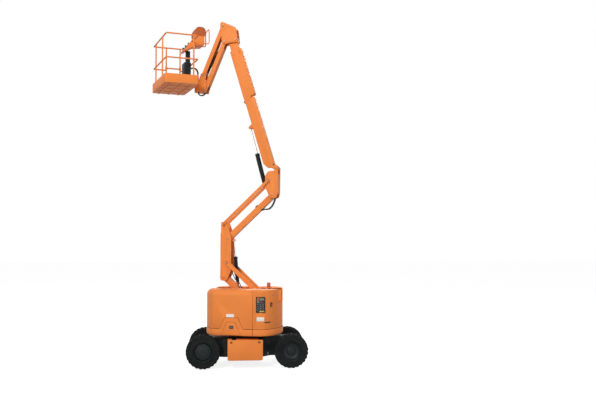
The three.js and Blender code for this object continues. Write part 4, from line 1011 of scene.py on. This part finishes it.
def boom_pads():
    """Bolted wear pads, the dark plug and the hose clip of the primary boom."""
    shell = Shell()
    for side in (-1, 1):
        for z in (-60, -216):
            shell.use(ORANGE).plate((-2838, z - 22), (-2752, z + 22), 5, *on_side(side, 86, 94))
            for x in (-2816, -2774):
                bolt(shell, (x, side * 94, z), (0, side, 0), 8, 6)
        shell.use(PLASTIC).lathe([(15, -3), (15, 1.5), (12, 3), (2, 3)], (-1735, side * 88, -86), (0, side, 0), 24)
        for x, z in ((-150, -70), (-150, -190), (-1640, -150)):
            bolt(shell, (x, side * 84, z), (0, side, 0), 8, 6)
        shell.use(PIN_STEEL).lathe([(18, -3), (18, 5), (15, 8), (3, 8)], (-1060, side * 51, -331), (0, side, 0), 24)
    shell.use(PLASTIC).box((-1672, -64, -296), (-1632, 64, -262))
    shell.use(PLASTIC).box((-118, -88, -58), (-86, 88, -24))
    shell.build("primary_boom_fittings", "primary_boom", "orange_paint", 1.5)


def arm_fittings():
    shell = Shell().use(PLASTIC)
    shell.prism(rounded_outline([(920, 58, 6), (1000, 58, 6), (1000, 86, 10), (920, 86, 10)]), -58, 58)
    for side in (-1, 1):
        for x in (110, 1290):
            shell.use(ORANGE).plate((x - 45, -40), (x + 45, 40), 12, *on_side(side, 80, 88))
            for z in (-22, 22):
                bolt(shell, (x, side * 88, z), (0, side, 0), 7, 5)
    shell.build("upper_arm_fittings", "upper_arm", "orange_paint", 2.0)


boom_pads()
arm_fittings()


def cylinder_lines(body, radius, length, roll=0.0):
    """Hard line, its clamps and the port blocks along a hydraulic barrel, rolled about its axis."""
    shell = Shell()
    side, over = radius * 0.5, radius + 7
    path = rounded_path([(70, side, radius - 4), (70, side, over), (length - 80, side, over),
                         (length - 80, side, radius - 4)], 16)
    shell.use(BLACK).tube(path, 5, 12)
    for x in (70, length - 80):
        shell.use(BLACK).box((x - 16, side - 14, radius - 12), (x + 16, side + 14, radius + 3))
    for k in range(3):
        x = 70 + (length - 150) * (k + 1) / 4
        shell.ring([(radius - 2, -7), (radius + 1.6, -7), (radius + 1.6, 7), (radius - 2, 7)], (x, 0, 0), (1, 0, 0))
        shell.box((x - 7, side - 9, radius - 8), (x + 7, side + 9, over + 6))
    for x in (length - 58, length - 4):
        shell.ring([(radius - 2, 0), (radius + 5.4, 0), (radius + 5.4, 3), (radius - 2, 3)], (x, 0, 0), (1, 0, 0))
    rolled = Shell().moved(shell, Matrix.Rotation(math.radians(roll), 4, "X"))
    rolled.build(f"{body}_lines", body, "black_paint", 0.8, 1)


cylinder_lines("lift_barrel", 46, 735)
cylinder_lines("riser_barrel", 38, 590)
cylinder_lines("jib_barrel", 34, 800, roll=-62.0)

# ---------------------------------------------------------------- platform details

def tray_details():
    """Tread plate and cross members below."""
    shell = Shell().use(ORANGE)
    row = 0
    x = -880.0
    while x < -180:
        y = -670.0 + (26 if row % 2 else 0)
        while y < 680:
            lean = 0.7 if (row + int(y // 52)) % 2 else -0.7
            along = Vector((math.cos(lean), math.sin(lean), 0)) * 15
            across = Vector((-along.y, along.x, 0)).normalized() * 3.2
            centre = Vector((x, y, 44.5))
            low = [centre + along, centre + across, centre - along, centre - across]
            shell.loft([low, [centre + (v - centre) * 0.7 + UP * 1.5 for v in low]])
            y += 52
        x += 26
        row += 1
    shell.build("tray_tread", "platform", "orange_paint", smooth=False)
    beams = Shell().use(ORANGE)
    for x in (-300, -530, -760):
        beams.box((x - 20, -690, -12), (x + 20, 690, 1))
    for y in (-360, 0, 360):
        beams.box((-895, y - 16, -9), (-165, y + 16, 1))
    beams.build("tray_beams", "platform", "orange_paint", 2.0)


SLOPE_LOW, SLOPE_HIGH = Vector((-360, 0, 880)), Vector((-210, 0, 1068))


def platform_panel():
    """Control panel on the console's slope, with joysticks, switches and the stop button."""
    run = (SLOPE_HIGH - SLOPE_LOW).normalized()
    out = Vector((-run.z, 0, run.x))
    turn = Matrix((run, Vector((0, 1, 0)), out)).transposed().to_4x4()
    place = Matrix.Translation(SLOPE_LOW) @ turn
    part = Shell().use(PLASTIC)
    part.plate((14, -174), (226, 174), 12, -2, 5, "z")
    for y in (-118, 112):
        part.use(HOSE).lathe([(30, 4), (30, 9), (24, 13), (25, 17), (18, 21), (19, 25), (10, 32)], (92, y, 0),
                             (0, 0, 1), 28)
        part.use(BLACK).lathe([(7, 28), (8, 31), (13, 34), (15, 40), (12, 46), (4, 48)], (92, y, 0),
                              (0, 0, 1), 24)
    part.use(YELLOW).plate((150, -160), (206, -104), 8, 4, 7, "z")
    part.use(RED).lathe([(14, 6), (14, 18), (23, 21), (24, 28), (18, 34), (4, 35)], (178, -132, 0), (0, 0, 1), 28)
    for row in range(2):
        for column in range(5):
            x, y = 60 + row * 54, -52 + column * 26
            part.use(ZINC).lathe([(8, 4), (8, 8), (5, 10), (2, 10)], (x, y, 0), (0, 0, 1), 6)
            part.use(BLACK).tube([(x, y, 9), (x + 3, y, 16), (x + 5, y, 21)], [2.4, 3, 4], 12)
    part.use(GREY).plate((150, -70), (206, 60), 5, 4, 7.5, "z")
    part.use(PALE).plate((150, 90), (206, 160), 4, 4, 6, "z")
    Shell().moved(part, place).build("platform_panel_face", "platform", "black_paint", 0.8, 1)


tray_details()
platform_panel()

# ---------------------------------------------------------------- hoses across one joint each

def hoses(name, paths, radius):
    """Rubber hoses with crimped ends, built in the row frame and attached to no body."""
    shell = Shell()
    for path in paths:
        curve = smooth_curve(path, 8)
        shell.use(HOSE).tube(curve, radius, 16)
        for first, second in ((curve[0], curve[1]), (curve[-1], curve[-2])):
            axis = (second - first).normalized()
            shell.use(BLACK).lathe([(radius + 2.5, 0), (radius + 3, 3), (radius + 3, 30), (radius + 1.5, 33)],
                                  first, axis, 20)
    piece = shell.build(name, None, "black_paint", local="world")
    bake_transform(piece)


def mixed(*stretches):
    """One path through points given in several local frames."""
    return [p for name, points in stretches for p in to_world(name, points)]


hoses("link_hoses", [mixed(
    ("upper_arm", [(985, y, -66), (1040, y, -96)]),
    ("upper_link", [(-150, y, -318), (-75, y, -300), (-6, y, -225), (44, y, -110), (62, y, -30)]))
    for y in (-74, -42, -10)], 15)
hoses("mast_hoses", [mixed(
    ("lower_arm", [(-985, y, 66), (-1050, y, 96), (-1140, y, 128), (-1225, y, 150)]),
    ("mid_mast", [(120, y, 250), (70, y, 330), (10, y, 420)])) for y in (-73, 73)], 9)
hoses("platform_hoses", [mixed(
    ("platform_mount", [(-92, y, 170), (-130, y, 214), (-170, y, 262), (-188, y, 335)]),
    ("platform", [(-10, y, 392), (-36, y, 464), (-88, y, 496), (-150, y, 496), (-200, y, 470)]))
    for y in (-40, -8)], 14)
hoses("jib_hoses", [mixed(
    ("jib_lower_arm", [(-1010, y, -20), (-1110, y, -42)]),
    ("platform_mount", [(-14, y, -62), (-70, y, -92), (-130, y, -84), (-158, y, -50), (-150, y, 0)]))
    for y in (-42, -14)], 13)

# ---------------------------------------------------------------- floor, lights and world

FLOOR_REACH, FLOOR_GREY, FLOOR_GLOW = 60.0, 0.34, 0.84
WORLD_STRENGTH = 0.42
# name, place, aim, size, power
LIGHTS = [("key", (-7, -14, 14), (0, 0, 2.6), 7, 1960),
          ("low", (-3, -15, 3.2), (0, 0, 1.2), 5, 330),
          ("fill", (12, -10, 7), (0, 0, 2.5), 9, 500),
          ("back", (3, 14, 12), (0, 0, 3), 8, 1350)]


def seen_directly(tree):
    """1 for camera, glossy and transmission rays, 0 for the rest."""
    rays = node(tree, "ShaderNodeLightPath")
    total = rays.outputs["Is Camera Ray"]
    for name in ("Is Glossy Ray", "Is Transmission Ray"):
        larger = node(tree, "ShaderNodeMath", operation="MAXIMUM")
        tree.links.new(total, larger.inputs[0])
        tree.links.new(rays.outputs[name], larger.inputs[1])
        total = larger.outputs[0]
    return total


def make_stage():
    """Pale floor that looks white but still takes the shadow."""
    mesh = bpy.data.meshes.new("floor")
    mesh.from_pydata([(x * FLOOR_REACH, y * FLOOR_REACH, 0) for x, y in ((-1, -1), (1, -1), (1, 1), (-1, 1))],
                     [], [(0, 1, 2, 3)])
    floor = bpy.data.objects.new("floor", mesh)
    bpy.context.scene.collection.objects.link(floor)
    material = bpy.data.materials.new("floor")
    material.use_nodes = True
    tree = material.node_tree
    tree.nodes.clear()
    lit = node(tree, "ShaderNodeBsdfDiffuse")
    lit.inputs["Color"].default_value = (FLOOR_GREY, FLOOR_GREY, FLOOR_GREY, 1)
    glow = node(tree, "ShaderNodeEmission")
    level = node(tree, "ShaderNodeMath", operation="MULTIPLY")
    level.inputs[1].default_value = FLOOR_GLOW
    tree.links.new(seen_directly(tree), level.inputs[0])
    tree.links.new(level.outputs[0], glow.inputs["Strength"])
    total = node(tree, "ShaderNodeAddShader")
    tree.links.new(lit.outputs[0], total.inputs[0])
    tree.links.new(glow.outputs[0], total.inputs[1])
    tree.links.new(total.outputs[0], node(tree, "ShaderNodeOutputMaterial").inputs["Surface"])
    floor.data.materials.append(material)
    floor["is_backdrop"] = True


def make_world(strength):
    """White to the camera and in reflections, a softer level as light."""
    world = bpy.data.worlds.new("studio")
    bpy.context.scene.world = world
    world.use_nodes = True
    tree = world.node_tree
    background = tree.nodes["Background"]
    background.inputs["Color"].default_value = (1, 1, 1, 1)
    tree.links.new(map_range(tree, seen_directly(tree), 0, 1, strength, 1.0), background.inputs["Strength"])


def make_light(name, place, aim, size, power):
    data = bpy.data.lights.new(name, "AREA")
    data.shape = "DISK"
    data.size = size
    data.energy = power
    lamp = bpy.data.objects.new(name, data)
    lamp.location = place
    lamp.rotation_euler = (Vector(aim) - Vector(place)).to_track_quat("-Z", "Y").to_euler()
    bpy.context.scene.collection.objects.link(lamp)


make_stage()
make_world(WORLD_STRENGTH)
for light in LIGHTS:
    make_light(*light)
bpy.context.scene.view_settings.view_transform = "Standard"

# ---------------------------------------------------------------- finish

def corners(bounds):
    return [[float(value) for value in corner] for corner in bounds]


{"cad": corners(cad_bounds), "visual": corners(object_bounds())}
